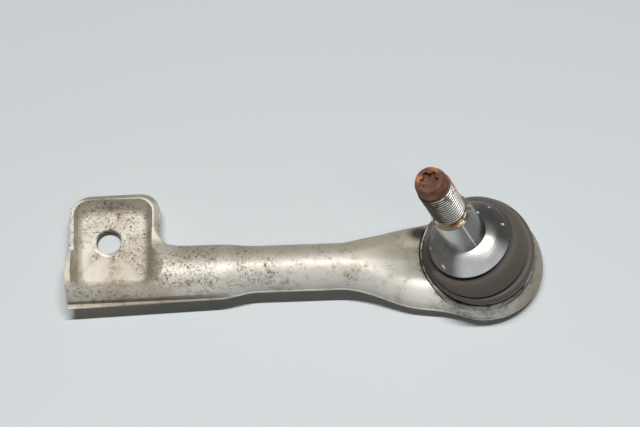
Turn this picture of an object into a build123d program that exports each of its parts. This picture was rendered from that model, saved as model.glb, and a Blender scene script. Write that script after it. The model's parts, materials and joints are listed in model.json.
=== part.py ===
from build123d import *
import os
from math import atan2, cos, pi, radians, sin

# All sizes in millimetres. The bolt hole of the lug stands on the origin, with the rod
# along +X and the threaded stud upward. The rod lies on the plane z = 0.

# Pressed sheet arm
SHEET = 3.0
CUT_END_X = -15.5
HOLLOW_START_X = 24.5
TRIM_LIP = 0.45
WIDE_TRIM_LIP = 1.9
TRIM_LIP_HEIGHT = 0.8

# Bolt lug and its pocket
BOLT_HOLE_DIAMETER = 10.5
LUG_EDGE_Z = 8.3
LUG_CREST_Z = 13.0
LUG_LEFT_BACK_Y = 19.4
LUG_RIGHT_BACK_Y = 20.1
LUG_RIGHT_X = 22.1
LUG_CORNER = 8.5
LUG_FILLET = 10.0
LUG_SIDE_TAPER = 2.0
LUG_BACK_TAPER = 3.8
LUG_OVERLAP = 0.3
LUG_OVERLAP_TAPER = 0.7
RIDGE_ROUND = 0.4
SADDLE_ROUND = 6.0
PAN_TOP_Z = 9.0
POCKET_TOP_Z = 21.0
POCKET_FLOOR_ROUND = 3.0
POCKET_FLOOR_CORNER = 5.0
POCKET_MOUTH_CORNER = 8.0

# Corners of the pocket's floor and of its mouth, and the way each of them lies
POCKET_FLOOR = [(-12.4, -18.9), (-13.4, 13.9), (16.5, 13.9), (16.7, -18.9)]
POCKET_MOUTH = [(-13.2, -31.0), (-14.5, 17.0), (21.7, 17.0), (20.6, -31.0)]
CORNER_SIGNS = [(-1, -1), (-1, 1), (1, 1), (1, -1)]

# Flare where the pocket opens through the crest of the rod: height above the floor, growth
POCKET_FLARE = [(11.9, -0.3), (14.3, 0.5), (16.0, 1.8), (17.0, 3.4), (17.8, 5.4)]

# Eye and socket
BALL_X = 154.5
BALL_Y = -16.5
BALL_Z = 16.5
EYE_X = 157.5
EYE_Y = -16.3
EYE_RADIUS = 25.2
EYE_CREST_Z = 14.5
EYE_CORNER = 8.5
EYE_EDGE_Z = 4.2
LAND_Z = 11.0
LAND_RADIUS = 24.3
HOUSING_RADIUS = 20.0
FLANGE_RADIUS = 24.1
FLANGE_TOP_Z = 14.5
SOCKET_BORE_RADIUS = 15.5
SOCKET_MOUTH_RADIUS = 10.8
SOCKET_SHOULDER_Z = 16.9
SOCKET_MOUTH_Z = 21.6
CAP_RADIUS = 17.5
CAP_BOTTOM_Z = 1.2
CAP_TOP_Z = 3.4
BALL_RADIUS = 11.5
SEAT_CLEARANCE = 0.12

# Stud, measured along its axis from the centre of the ball
LEAN = radians(21.3)
LEAN_AZIMUTH = radians(173.6)
NECK_RADIUS = 7.0
SHOULDER_START = 14.3
SHOULDER_RADIUS = 9.2
TAPER_START = 19.7
TAPER_BIG_RADIUS = 9.1
TAPER_END = 38.0
TAPER_SMALL_RADIUS = 8.2
UNDERCUT_START = 39.4
UNDERCUT_RADIUS = 6.3
THREAD_START = 41.0
THREAD_END = 61.6
THREAD_RADIUS = 7.0
PILOT_RADIUS = 6.4
PILOT_END = 64.4
TIP_END = 66.7
TIP_RADIUS = 5.4
RECESS_RADIUS = 3.0
RECESS_LOBE_RADIUS = 0.95
RECESS_DEPTH = 4.5
COLLAR_RIM_RADIUS = 17.2
COLLAR_RIM = 13.1
COLLAR_BULGE = 1.0

# Boot and its rings
BEAD_RADIUS = 22.8
BEAD_BORE_RADIUS = 19.2
BEAD_BOTTOM_Z = 14.6
BEAD_TOP_Z = 19.5
CLAMP_WIRE_RADIUS = 0.7
CLAMP_WIRE_Z = 16.1
CLAMP_RING_RADIUS = 22.3
CLAMP_GROOVE_RADIUS = 0.8
BOOT_BORE_RADIUS = 7.1
LIP_RADIUS = 9.9
LIP_END = 13.5
SPRING_RING_START = 12.1
SPRING_RING_SIZE = 1.0

# Skin of the boot in leaning circles: share of the lean, height, radius, shift away from the lean.
# The upper roll starts inside the lower one, and the fold lies where they meet.
LOWER_ROLL = [
    (0.0, 0.6, 22.8, 0.0),
    (0.08, 2.6, 23.3, 0.1),
    (0.17, 4.2, 23.0, 0.0),
    (0.22, 4.9, 21.6, -0.5),
]
UPPER_ROLL = [
    (0.22, 3.9, 20.8, -0.9),
    (0.28, 5.2, 22.0, -1.1),
    (0.45, 7.0, 21.9, -0.8),
    (0.7, 9.4, 20.3, -0.4),
    (1.0, 11.3, 17.0, 0.0),
    (1.0, 11.4, 13.5, 0.0),
    (1.0, 11.5, LIP_RADIUS, 0.0),
]
BOOT_INSIDE = [
    (0.0, 0.2, BEAD_BORE_RADIUS, 0.0),
    (0.1, 4.6, 18.9, 0.2),
    (0.35, 6.6, 17.9, 0.6),
    (0.75, 9.2, 15.5, 1.0),
    (1.0, 10.0, 9.0, 0.0),
]

# Rod sections: front wall y, back wall y, crest z, corner radius, edge z, trim lip in front
CUT_END = (-30.5, -6.9, 20.2, 10.3, 8.5, WIDE_TRIM_LIP)
WIDE_ROD = (-29.9, -6.9, 20.2, 10.3, 8.5, TRIM_LIP)
SLIM_ROD = (-27.4, -8.1, 19.5, 9.4, 8.5, TRIM_LIP)
STEP_START_X = 47.0
STEP_END_X = 63.0
FLARE_START_X = 98.0

# Flared neck: x, front wall y, back wall y, crest z, corner radius, edge z
NECK_SECTIONS = [
    (FLARE_START_X, -27.4, -8.1, 19.5, 9.4, 8.5),
    (104.0, -28.2, -7.0, 19.3, 9.4, 8.2),
    (109.5, -29.6, -5.7, 18.7, 9.3, 7.4),
    (114.0, -31.1, -4.6, 18.0, 9.2, 6.6),
    (118.5, -32.8, -3.2, 17.1, 9.1, 5.9),
    (124.0, -34.7, -1.6, 16.1, 9.0, 5.4),
    (130.0, -36.0, -0.2, 15.3, 8.8, 5.0),
    (137.0, -36.9, 1.6, 14.8, 8.6, 4.7),
    (143.5, -38.2, 4.8, 14.5, 8.5, 4.4),
    (150.0, -40.3, 7.8, 14.5, 8.5, 4.2),
    (EYE_X, EYE_Y - EYE_RADIUS, EYE_Y + EYE_RADIUS, EYE_CREST_Z, EYE_CORNER, EYE_EDGE_Z),
]


def leaning_plane(height, share=1.0, shift=0.0):
    """Plane above the ball centre, turned by a share of the lean and shifted away from it."""
    lean = LEAN * share
    axis = Vector(sin(lean) * cos(LEAN_AZIMUTH), sin(lean) * sin(LEAN_AZIMUTH), cos(lean))
    across = Vector(cos(lean) * cos(LEAN_AZIMUTH), cos(lean) * sin(LEAN_AZIMUTH), -sin(lean))
    centre = Vector(BALL_X, BALL_Y, BALL_Z) + axis * height - across * shift
    return Plane(centre, x_dir=across, z_dir=axis)


def turned(profile, cross_plane):
    """Solid of revolution of a flat profile about the normal of cross_plane."""
    x_dir = cross_plane.x_dir
    upright = Plane(cross_plane.origin, x_dir=x_dir, z_dir=x_dir.cross(cross_plane.z_dir))
    return revolve(upright * profile, Axis(cross_plane.origin, cross_plane.z_dir))


def outline(*points):
    """Flat profile from (radius, height) points."""
    return make_face(Polyline(*points, close=True))


SOCKET_PLANE = Plane((BALL_X, BALL_Y, 0), x_dir=(1, 0, 0), z_dir=(0, 0, 1))
STUD_PLANE = leaning_plane(0.0)
ON_BASE = (Align.CENTER, Align.CENTER, Align.MIN)


def arch(low, high, top, round_off, foot):
    """Lines and arcs of an inverted U, from its foot at high over the crest to its foot at low."""
    dip = round_off * (1 - cos(pi / 4))
    springing = top - round_off
    return [
        Line((high, foot), (high, springing)),
        ThreePointArc((high, springing), (high - dip, top - dip), (high - round_off, top)),
        Line((high - round_off, top), (low + round_off, top)),
        ThreePointArc((low + round_off, top), (low + dip, top - dip), (low, springing)),
        Line((low, springing), (low, foot)),
    ]


def arm_section(x, front, back, crest, corner, edge, lip=TRIM_LIP, inset=0.0):
    """Section across the arm: the outside with its trim lips, or with inset the inside."""
    plane = Plane((x, 0, 0), x_dir=(0, 1, 0), z_dir=(1, 0, 0))
    low = front + inset
    high = back - inset
    if inset > 0:
        foot = edge - TRIM_LIP_HEIGHT
        lines = [Line((low, foot), (high, foot))]
        lines += arch(low, high, crest - inset, corner - inset, foot)
        return plane * make_face(lines)
    lip_top = edge + TRIM_LIP_HEIGHT
    foot = lip_top + TRIM_LIP
    lips = Polyline(
        (low, foot),
        (low - lip, lip_top),
        (low - lip, edge),
        (high + TRIM_LIP, edge),
        (high + TRIM_LIP, lip_top),
        (high, foot),
    )
    return plane * make_face([lips] + arch(low, high, crest, corner, foot))


def step_sections(inset):
    """Sections of the step where the wide end of the rod eases into the slim one."""
    count = 6
    sections = []
    for index in range(count + 1):
        travel = index / count
        ease = travel * travel * (3 - 2 * travel)
        kind = [wide + (slim - wide) * ease for wide, slim in zip(WIDE_ROD, SLIM_ROD)]
        x = STEP_START_X + (STEP_END_X - STEP_START_X) * travel
        sections.append(arm_section(x, *kind, inset=inset))
    return sections


def eye_half(inset=0.0):
    """Far half of the eye, turned from the last section of the neck."""
    behind_eye = Pos(EYE_X, EYE_Y + EYE_RADIUS, 0) * Box(1, 2 * EYE_RADIUS, 4 * EYE_RADIUS)
    half_section = arm_section(*NECK_SECTIONS[-1], inset=inset) & behind_eye
    return revolve(half_section, Axis((EYE_X, EYE_Y, 0), (0, 0, -1)), revolution_arc=180)


def wide_end(inset, start_x):
    """Wide end of the rod from start_x to the step; its front lip widens toward the cut."""
    travel = (start_x - CUT_END_X) / (STEP_START_X - CUT_END_X)
    kind = [cut + (wide - cut) * travel for cut, wide in zip(CUT_END, WIDE_ROD)]
    start = arm_section(start_x, *kind, inset=inset)
    return loft([start, arm_section(STEP_START_X, *WIDE_ROD, inset=inset)], ruled=True)


def arm_form(inset=0.0, start_x=CUT_END_X):
    """Rod, neck and eye as one closed form, drawn inward by inset all round."""
    step = loft(step_sections(inset))
    slim = extrude(arm_section(STEP_END_X, *SLIM_ROD, inset=inset), FLARE_START_X - STEP_END_X)
    neck = loft([arm_section(*section, inset=inset) for section in NECK_SECTIONS])
    return wide_end(inset, start_x) + step + slim + neck + eye_half(inset)


def lug_plan(share=0.0):
    """Plan of the lug, drawn in by a share of its taper, with the fillet into the back of the rod."""
    taper = LUG_SIDE_TAPER * share
    limb = WIDE_ROD[1] - LUG_OVERLAP - LUG_OVERLAP_TAPER * share
    left = CUT_END_X
    right = LUG_RIGHT_X - taper
    middle = (WIDE_ROD[0] + limb) / 2
    far = LUG_RIGHT_X + LUG_FILLET + 4
    back_left = (left, LUG_LEFT_BACK_Y - LUG_BACK_TAPER * share)
    back_right = (right, LUG_RIGHT_BACK_Y - LUG_BACK_TAPER * share)
    points = [(left, middle), back_left, back_right, (right, limb), (far, limb), (far, middle)]
    plan = make_face(Polyline(*points, close=True))
    outer_corners = [plan.vertices().sort_by_distance(point)[0] for point in (back_left, back_right)]
    plan = fillet(outer_corners, LUG_CORNER - taper)
    hollow_corner = plan.vertices().sort_by_distance((right, limb))[0]
    return fillet(hollow_corner, LUG_FILLET + taper)


def lug_block():
    """Lug whose outer faces lean inward up to the ridge where the sheet turns into the pocket."""
    edge = Pos(0, 0, LUG_EDGE_Z) * lug_plan()
    ridge = Pos(0, 0, LUG_CREST_Z) * lug_plan(1.0)
    block = loft([edge, ridge], ruled=True)
    upper_edges = block.edges().group_by(Axis.Z)[-1]
    free_edges = upper_edges.filter_by(lambda edge: edge.center().Y > WIDE_ROD[1] + 0.1)
    return fillet(free_edges.filter_by(lambda edge: edge.center().X > CUT_END_X + 0.1), RIDGE_ROUND)


def lug_saddle():
    """Hollow sweep from the lug's ridge up to the back of the rod."""
    axis_y = WIDE_ROD[1] - WIDE_ROD[3]
    axis_z = WIDE_ROD[2] - WIDE_ROD[3]
    sweep_z = LUG_CREST_Z + SADDLE_ROUND
    reach = WIDE_ROD[3] + SADDLE_ROUND
    rise = atan2(sweep_z - axis_z, (reach**2 - (sweep_z - axis_z) ** 2) ** 0.5)
    sweep_y = axis_y + reach * cos(rise)
    foot = (sweep_y, LUG_CREST_Z)
    touch = (sweep_y - SADDLE_ROUND * cos(rise), sweep_z - SADDLE_ROUND * sin(rise))
    half_way = (rise + pi / 2) / 2
    middle = (sweep_y - SADDLE_ROUND * cos(half_way), sweep_z - SADDLE_ROUND * sin(half_way))
    buried_z = LUG_EDGE_Z + 1
    buried = Polyline(touch, (axis_y, LUG_CREST_Z), (axis_y, buried_z), (sweep_y, buried_z), foot)
    profile = make_face([ThreePointArc(foot, middle, touch), buried])
    strip = extrude(Plane((0, 0, 0), x_dir=(0, 1, 0), z_dir=(1, 0, 0)) * profile, LUG_RIGHT_X + LUG_FILLET)
    return strip & extrude(lug_plan(1.2), 2 * POCKET_TOP_Z)


def pocket_section(floor_z, height, grow=0.0, flare=0.0):
    """Plan of the pocket at a height above its floor, grown all round and flared to three sides."""
    travel = height / (POCKET_TOP_Z - SHEET)
    corners = []
    for low, high, sign in zip(POCKET_FLOOR, POCKET_MOUTH, CORNER_SIGNS):
        x = low[0] + (high[0] - low[0]) * travel + sign[0] * grow + max(sign[0], 0) * flare
        y = low[1] + (high[1] - low[1]) * travel + sign[1] * (grow + flare)
        corners.append((x, y))
    plan = make_face(Polyline(*corners, close=True))
    corner = POCKET_FLOOR_CORNER + (POCKET_MOUTH_CORNER - POCKET_FLOOR_CORNER) * travel
    return Pos(0, 0, floor_z + height) * fillet(plan.vertices(), corner + grow + flare / 2)


def pocket_form(grow=0.0, floor_z=SHEET):
    """Tapered form of the pocket: the hollow itself, or with grow the sheet's far side."""
    mouth = pocket_section(floor_z, POCKET_TOP_Z - SHEET, grow)
    form = loft([pocket_section(floor_z, 0, grow), mouth], ruled=True)
    return fillet(form.edges().group_by(Axis.Z)[0], POCKET_FLOOR_ROUND + grow)


def pocket_mouth():
    """Flared upper part of the pocket, which rounds the crest of the rod over into it."""
    return loft([pocket_section(SHEET, height, 0.0, flare) for height, flare in POCKET_FLARE])


def sheet_trim():
    """Space left of the cut end, where the sheet was trimmed off."""
    return Pos(CUT_END_X - 50, 0, 0) * Box(100, 200, 100)


def link_arm():
    """Pressed arm: outside form and lug, less the pocket and the hollow under the sheet."""
    pan = pocket_form(SHEET, 0.0) & Box(200, 200, 2 * PAN_TOP_Z)
    outside = arm_form() + lug_block() + lug_saddle() + pan
    hollow = arm_form(SHEET, HOLLOW_START_X)
    socket_centre = Pos(BALL_X, BALL_Y, 0)
    land_sheet = Pos(BALL_X, BALL_Y, LAND_Z - SHEET) * Cylinder(LAND_RADIUS + SHEET, 20, align=ON_BASE)
    land = Pos(BALL_X, BALL_Y, LAND_Z) * Cylinder(LAND_RADIUS, 20, align=ON_BASE)
    housing_hole = socket_centre * Cylinder(HOUSING_RADIUS, 60)
    bolt_hole = Cylinder(BOLT_HOLE_DIAMETER / 2, 60)
    solid = outside - sheet_trim() - pocket_form() - pocket_mouth() - (hollow - land_sheet)
    return solid - land - housing_hole - bolt_hole


def socket_housing():
    """Turned cup: rolled lower edge, body in the eye, flange, and neck that holds the ball."""
    profile = outline(
        (16.4, 0.0),
        (18.4, 0.0),
        (HOUSING_RADIUS, 1.6),
        (HOUSING_RADIUS, LAND_Z),
        (FLANGE_RADIUS, LAND_Z),
        (FLANGE_RADIUS, FLANGE_TOP_Z - 0.5),
        (FLANGE_RADIUS - 0.5, FLANGE_TOP_Z),
        (19.4, FLANGE_TOP_Z),
        (19.4, 15.3),
        (18.8, 15.9),
        (18.8, 19.6),
        (12.6, 22.1),
        (11.3, 22.1),
        (SOCKET_MOUTH_RADIUS, SOCKET_MOUTH_Z),
        (SOCKET_BORE_RADIUS, SOCKET_SHOULDER_Z),
        (SOCKET_BORE_RADIUS, CAP_TOP_Z),
        (CAP_RADIUS, CAP_TOP_Z),
        (CAP_RADIUS, CAP_BOTTOM_Z),
        (15.8, CAP_BOTTOM_Z),
        (15.8, 0.6),
    )
    return turned(profile, SOCKET_PLANE)


def closing_cap():
    """Round cover under the ball with a shallow dish, held by the rolled edge of the housing."""
    profile = outline(
        (0, CAP_BOTTOM_Z + 0.7),
        (10.5, CAP_BOTTOM_Z + 0.7),
        (12.0, CAP_BOTTOM_Z),
        (CAP_RADIUS, CAP_BOTTOM_Z),
        (CAP_RADIUS, CAP_TOP_Z),
        (0, CAP_TOP_Z),
    )
    return turned(profile, SOCKET_PLANE)


def ball_seat():
    """Plastic shell that fills the housing around the ball."""
    profile = outline(
        (0, CAP_TOP_Z),
        (SOCKET_BORE_RADIUS, CAP_TOP_Z),
        (SOCKET_BORE_RADIUS, SOCKET_SHOULDER_Z),
        (SOCKET_MOUTH_RADIUS, SOCKET_MOUTH_Z),
        (0, SOCKET_MOUTH_Z),
    )
    inside = Pos(BALL_X, BALL_Y, BALL_Z) * Sphere(BALL_RADIUS + SEAT_CLEARANCE)
    return turned(profile, SOCKET_PLANE) - inside


def six_lobe_recess():
    """Six-lobe socket in the tip of the stud, for holding it while the nut is turned."""
    lobes = Circle(RECESS_RADIUS) + PolarLocations(RECESS_RADIUS + 0.15, 6) * Circle(RECESS_LOBE_RADIUS)
    return extrude(leaning_plane(TIP_END) * lobes, -RECESS_DEPTH)


def ball_stud():
    """Ball, neck, shoulder, taper, threaded shank and pilot, turned from one bar."""
    profile = outline(
        (0, 0),
        (NECK_RADIUS, 0),
        (NECK_RADIUS, SHOULDER_START - 0.5),
        (NECK_RADIUS + 0.5, SHOULDER_START),
        (SHOULDER_RADIUS, SHOULDER_START),
        (SHOULDER_RADIUS, TAPER_START - 0.1),
        (TAPER_BIG_RADIUS, TAPER_START),
        (TAPER_SMALL_RADIUS, TAPER_END),
        (THREAD_RADIUS, UNDERCUT_START - 0.4),
        (UNDERCUT_RADIUS, UNDERCUT_START),
        (UNDERCUT_RADIUS, THREAD_START - 0.6),
        (THREAD_RADIUS, THREAD_START),
        (THREAD_RADIUS, THREAD_END - 0.6),
        (PILOT_RADIUS, THREAD_END),
        (PILOT_RADIUS, PILOT_END),
        (TIP_RADIUS, TIP_END),
        (0, TIP_END),
    )
    ball = STUD_PLANE * Sphere(BALL_RADIUS)
    return turned(profile, STUD_PLANE) + ball - six_lobe_recess()


def stud_collar():
    """Domed skirt pressed on the shoulder of the stud, hollow below."""
    top = (SHOULDER_RADIUS, TAPER_START)
    rim = (COLLAR_RIM_RADIUS, COLLAR_RIM)
    slope = atan2(rim[0] - top[0], top[1] - rim[1])
    crown = (
        (top[0] + rim[0]) / 2 + COLLAR_BULGE * cos(slope),
        (top[1] + rim[1]) / 2 + COLLAR_BULGE * sin(slope),
    )
    dome = ThreePointArc(top, crown, rim)
    underside = Polyline(
        rim,
        (COLLAR_RIM_RADIUS - 0.2, COLLAR_RIM - 0.6),
        (COLLAR_RIM_RADIUS - 0.8, COLLAR_RIM - 0.8),
        (14.8, COLLAR_RIM),
        (11.6, SHOULDER_START),
        (SHOULDER_RADIUS, SHOULDER_START),
        top,
    )
    return turned(make_face([dome, underside]), STUD_PLANE)


def boot_rings(rings):
    """Closed form lofted through leaning circles."""
    circles = [leaning_plane(height, share, shift) * Circle(radius) for share, height, radius, shift in rings]
    return loft(circles)


def boot():
    """Rubber boot: bead on the neck of the housing, two squeezed rolls, lip on the stud."""
    bead = outline(
        (19.7, BEAD_BOTTOM_Z),
        (BEAD_RADIUS - 0.5, BEAD_BOTTOM_Z),
        (BEAD_RADIUS, BEAD_BOTTOM_Z + 0.5),
        (BEAD_RADIUS, BEAD_TOP_Z),
        (BEAD_BORE_RADIUS, BEAD_TOP_Z),
        (BEAD_BORE_RADIUS, BEAD_BOTTOM_Z + 1.6),
    )
    lip = leaning_plane(10.4) * Cylinder(LIP_RADIUS, LIP_END - 10.4, align=ON_BASE)
    bore = leaning_plane(9.0) * Cylinder(BOOT_BORE_RADIUS, 8.0, align=ON_BASE)
    groove = Pos(BALL_X, BALL_Y, CLAMP_WIRE_Z) * Torus(CLAMP_RING_RADIUS, CLAMP_GROOVE_RADIUS)
    rolls = boot_rings(LOWER_ROLL) + boot_rings(UPPER_ROLL)
    shell = rolls + lip - boot_rings(BOOT_INSIDE) - bore
    return shell + turned(bead, SOCKET_PLANE) - groove


def boot_base_ring():
    """Clamp wire round the foot of the boot."""
    return Pos(BALL_X, BALL_Y, CLAMP_WIRE_Z) * Torus(CLAMP_RING_RADIUS, CLAMP_WIRE_RADIUS)


def upper_spring_ring():
    """Flat spring ring round the lip of the boot."""
    inner = LIP_RADIUS + 0.05
    outer = inner + SPRING_RING_SIZE
    end = SPRING_RING_START + SPRING_RING_SIZE
    profile = outline((inner, SPRING_RING_START), (outer, SPRING_RING_START), (outer, end), (inner, end))
    return turned(fillet(profile.vertices(), 0.2), STUD_PLANE)


SUB_PARTS = {
    "link_arm": link_arm,
    "socket_housing": socket_housing,
    "ball_seat": ball_seat,
    "closing_cap": closing_cap,
    "ball_stud": ball_stud,
    "stud_collar": stud_collar,
    "boot": boot,
    "boot_base_ring": boot_base_ring,
    "upper_spring_ring": upper_spring_ring,
}

os.makedirs("parts", exist_ok=True)
for name, make in SUB_PARTS.items():
    piece = make()
    piece.label = name
    export_step(piece, f"parts/{name}.step")
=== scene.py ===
"""Dressed scene of a tie rod with a ball joint, lying on a pale table.

Lengths in the dataclasses are millimetres in the part's own frame, and the meshes are metres.
The origin is the bolt hole of the lug, +X runs along the rod and +Z is up.
"""

from __future__ import annotations

import json
import logging
import math
from dataclasses import dataclass
from enum import Enum
from functools import reduce
from typing import Optional, Sequence, Union

import bmesh
import bpy
from mathutils import Matrix, Vector

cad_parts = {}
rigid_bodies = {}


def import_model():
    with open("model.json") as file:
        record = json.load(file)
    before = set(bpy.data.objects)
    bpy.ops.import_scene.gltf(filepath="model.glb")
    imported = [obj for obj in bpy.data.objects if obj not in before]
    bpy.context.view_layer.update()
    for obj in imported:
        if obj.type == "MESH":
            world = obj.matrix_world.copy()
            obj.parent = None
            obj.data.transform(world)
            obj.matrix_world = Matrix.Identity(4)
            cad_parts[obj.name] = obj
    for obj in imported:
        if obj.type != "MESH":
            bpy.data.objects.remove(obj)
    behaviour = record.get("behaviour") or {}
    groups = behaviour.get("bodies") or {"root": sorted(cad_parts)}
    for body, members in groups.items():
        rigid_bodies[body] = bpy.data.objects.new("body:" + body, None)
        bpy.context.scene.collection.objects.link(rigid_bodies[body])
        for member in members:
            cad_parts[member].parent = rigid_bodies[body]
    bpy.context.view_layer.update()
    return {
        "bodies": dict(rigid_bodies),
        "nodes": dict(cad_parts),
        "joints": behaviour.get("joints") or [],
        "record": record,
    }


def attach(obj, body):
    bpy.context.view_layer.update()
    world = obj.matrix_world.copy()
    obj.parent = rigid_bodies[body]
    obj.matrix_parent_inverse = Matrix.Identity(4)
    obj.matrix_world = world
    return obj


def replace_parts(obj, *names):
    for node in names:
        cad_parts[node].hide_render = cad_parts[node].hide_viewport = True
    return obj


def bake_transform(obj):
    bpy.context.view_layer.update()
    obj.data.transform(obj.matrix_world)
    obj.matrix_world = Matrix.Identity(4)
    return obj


LOG = logging.getLogger("tie_rod")
MM = 0.001
FULL_TURN = 2 * math.pi

# Merge distances in metres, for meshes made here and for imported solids
WELD = 1e-6
SOLID_WELD = 2e-6

# Longest share of a side that a rounded corner takes
EASED_SHARE = 0.45

# Sockets of a Mix node set to colours, and the output of Vector Math that holds a number
MIX_FACTOR, MIX_FIRST, MIX_SECOND, MIX_COLOUR = 0, 6, 7, 2
VECTOR_NUMBER = 1

Number = Union[int, float]
Value = Union["Wire", Number]
Colour = tuple[float, float, float]
Tint = Union[Colour, bpy.types.NodeSocket]
Point = tuple[float, float, float]
Span = tuple[float, float]
Settings = dict[str, object]
Key = Union[int, str]
Inputs = dict[Key, object]

UP: Point = (0.0, 0.0, 1.0)
LEFT: Point = (-1.0, 0.0, 0.0)
FRONT: Point = (0.0, -1.0, 0.0)
BEHIND: Point = (0.0, 1.0, 0.0)


class Body(str, Enum):
    """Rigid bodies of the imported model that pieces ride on."""

    LINK = "link"
    BOOT = "boot"
    BOOT_LIP = "boot_lip"
    STUD = "stud"


class Slot(str, Enum):
    """Material slots of the record."""

    ARM = "arm_steel"
    HOUSING = "housing_steel"
    SEAT = "seat_plastic"
    CAP = "cap_steel"
    STUD = "stud_steel"
    COLLAR = "collar_steel"
    BOOT = "boot_rubber"
    WIRE = "wire_steel"
    SPRING = "spring_steel"


class Axis(str, Enum):
    """Coordinates of the part, named as the sockets that give them."""

    X = "X"
    Y = "Y"
    Z = "Z"


@dataclass(frozen=True)
class Noise:
    """Cloudy noise.

    The size is that of its features, detail the number of finer octaves and rough their strength. A cut makes
    blotches of it: 0 at its first level and 1 at its second.
    """

    size: float
    detail: float = 3.0
    rough: float = 0.55
    cut: Optional[Span] = None


@dataclass(frozen=True)
class Patch:
    """Round mask: 1 within its reach from a spot, falling to 0 over a soft edge."""

    at: Point
    reach: float
    soft: float


@dataclass(frozen=True)
class Zone:
    """Mask by place and by direction.

    Each step rises from 0 to 1 between two values of a coordinate, and a zone that names a facing rises between
    two levels of how squarely the surface looks that way. All of it is multiplied, with the share on top.
    """

    steps: tuple[tuple[Axis, Span], ...]
    facing: Optional[Point] = None
    levels: Span = (0.3, 0.8)
    share: float = 1.0


class Bench:
    """A node tree in the making; every node of the scene is added here."""

    def __init__(self, tree: bpy.types.NodeTree) -> None:
        """Take a node tree to work on."""
        self.tree = tree

    def node(self, kind: str, settings: Settings, inputs: Inputs) -> bpy.types.Node:
        """Add a node, set it up, then feed its sockets.

        Args:
            kind: node type.
            settings: properties that are set first.
            inputs: socket name or index to a value, a wire or an output socket.

        Returns:
            The node.
        """
        made = self.tree.nodes.new(kind)
        for key, value in settings.items():
            setattr(made, key, value)
        for key, value in inputs.items():
            source = value.socket if isinstance(value, Wire) else value
            if isinstance(source, bpy.types.NodeSocket):
                self.tree.links.new(source, made.inputs[key])
            else:
                made.inputs[key].default_value = source
        return made

    def out(self, kind: str, settings: Settings, inputs: Inputs, output: Key = 0) -> bpy.types.NodeSocket:
        """Add a node and take one of its outputs."""
        return self.node(kind, settings, inputs).outputs[output]

    def blend(self, factor: object, first: Tint, second: Tint) -> bpy.types.NodeSocket:
        """Mix two colours.

        Args:
            factor: 0 for the first and 1 for the second.
            first: colour or colour socket.
            second: colour or colour socket.

        Returns:
            The mixed colour as a socket.
        """
        inputs = {MIX_FACTOR: factor, MIX_FIRST: filled(first), MIX_SECOND: filled(second)}
        return self.out("ShaderNodeMix", {"data_type": "RGBA"}, inputs, MIX_COLOUR)


class Wire:
    """A number that runs through a node tree; arithmetic on it adds Math nodes."""

    def __init__(self, recipe: Recipe, socket: bpy.types.NodeSocket) -> None:
        """Wrap an output socket of a recipe."""
        self.recipe = recipe
        self.socket = socket

    def _math(self, operation: str, *values: Value) -> Wire:
        """Add one Math node.

        Args:
            operation: name of the Math operation.
            values: its inputs in order.

        Returns:
            The result as a wire.
        """
        return self.recipe.wire("ShaderNodeMath", {"operation": operation}, dict(enumerate(values)))

    def __add__(self, other: Value) -> Wire:
        """Sum."""
        return self._math("ADD", self, other)

    def __radd__(self, other: Number) -> Wire:
        """Sum with a number on the left."""
        return self._math("ADD", other, self)

    def __sub__(self, other: Value) -> Wire:
        """Difference."""
        return self._math("SUBTRACT", self, other)

    def __rsub__(self, other: Number) -> Wire:
        """Difference from a number on the left."""
        return self._math("SUBTRACT", other, self)

    def __mul__(self, other: Value) -> Wire:
        """Product."""
        return self._math("MULTIPLY", self, other)

    def __rmul__(self, other: Number) -> Wire:
        """Product with a number on the left."""
        return self._math("MULTIPLY", other, self)

    def __truediv__(self, other: Value) -> Wire:
        """Quotient."""
        return self._math("DIVIDE", self, other)

    def __rtruediv__(self, other: Number) -> Wire:
        """Quotient of a number on the left."""
        return self._math("DIVIDE", other, self)

    def sine(self) -> Wire:
        """Sine of an angle in radians."""
        return self._math("SINE", self)

    def larger(self, other: Value) -> Wire:
        """The larger of two values."""
        return self._math("MAXIMUM", self, other)

    def smaller(self, other: Value) -> Wire:
        """The smaller of two values."""
        return self._math("MINIMUM", self, other)

    def rise(self, low: float, high: float) -> Wire:
        """Smooth step.

        Args:
            low: value that gives 0.
            high: value that gives 1; below low it makes a falling step.

        Returns:
            A wire between 0 and 1.
        """
        settings = {"interpolation_type": "SMOOTHSTEP", "clamp": True}
        ends = (low, high, 0.0, 1.0) if low < high else (high, low, 1.0, 0.0)
        return self.recipe.wire("ShaderNodeMapRange", settings, dict(enumerate((self, *ends))))

    def band(self, low: float, high: float, soft: float) -> Wire:
        """1 between low and high, falling to 0 over soft on both sides."""
        return self.rise(low - soft, low) * self.rise(high + soft, high)


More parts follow.
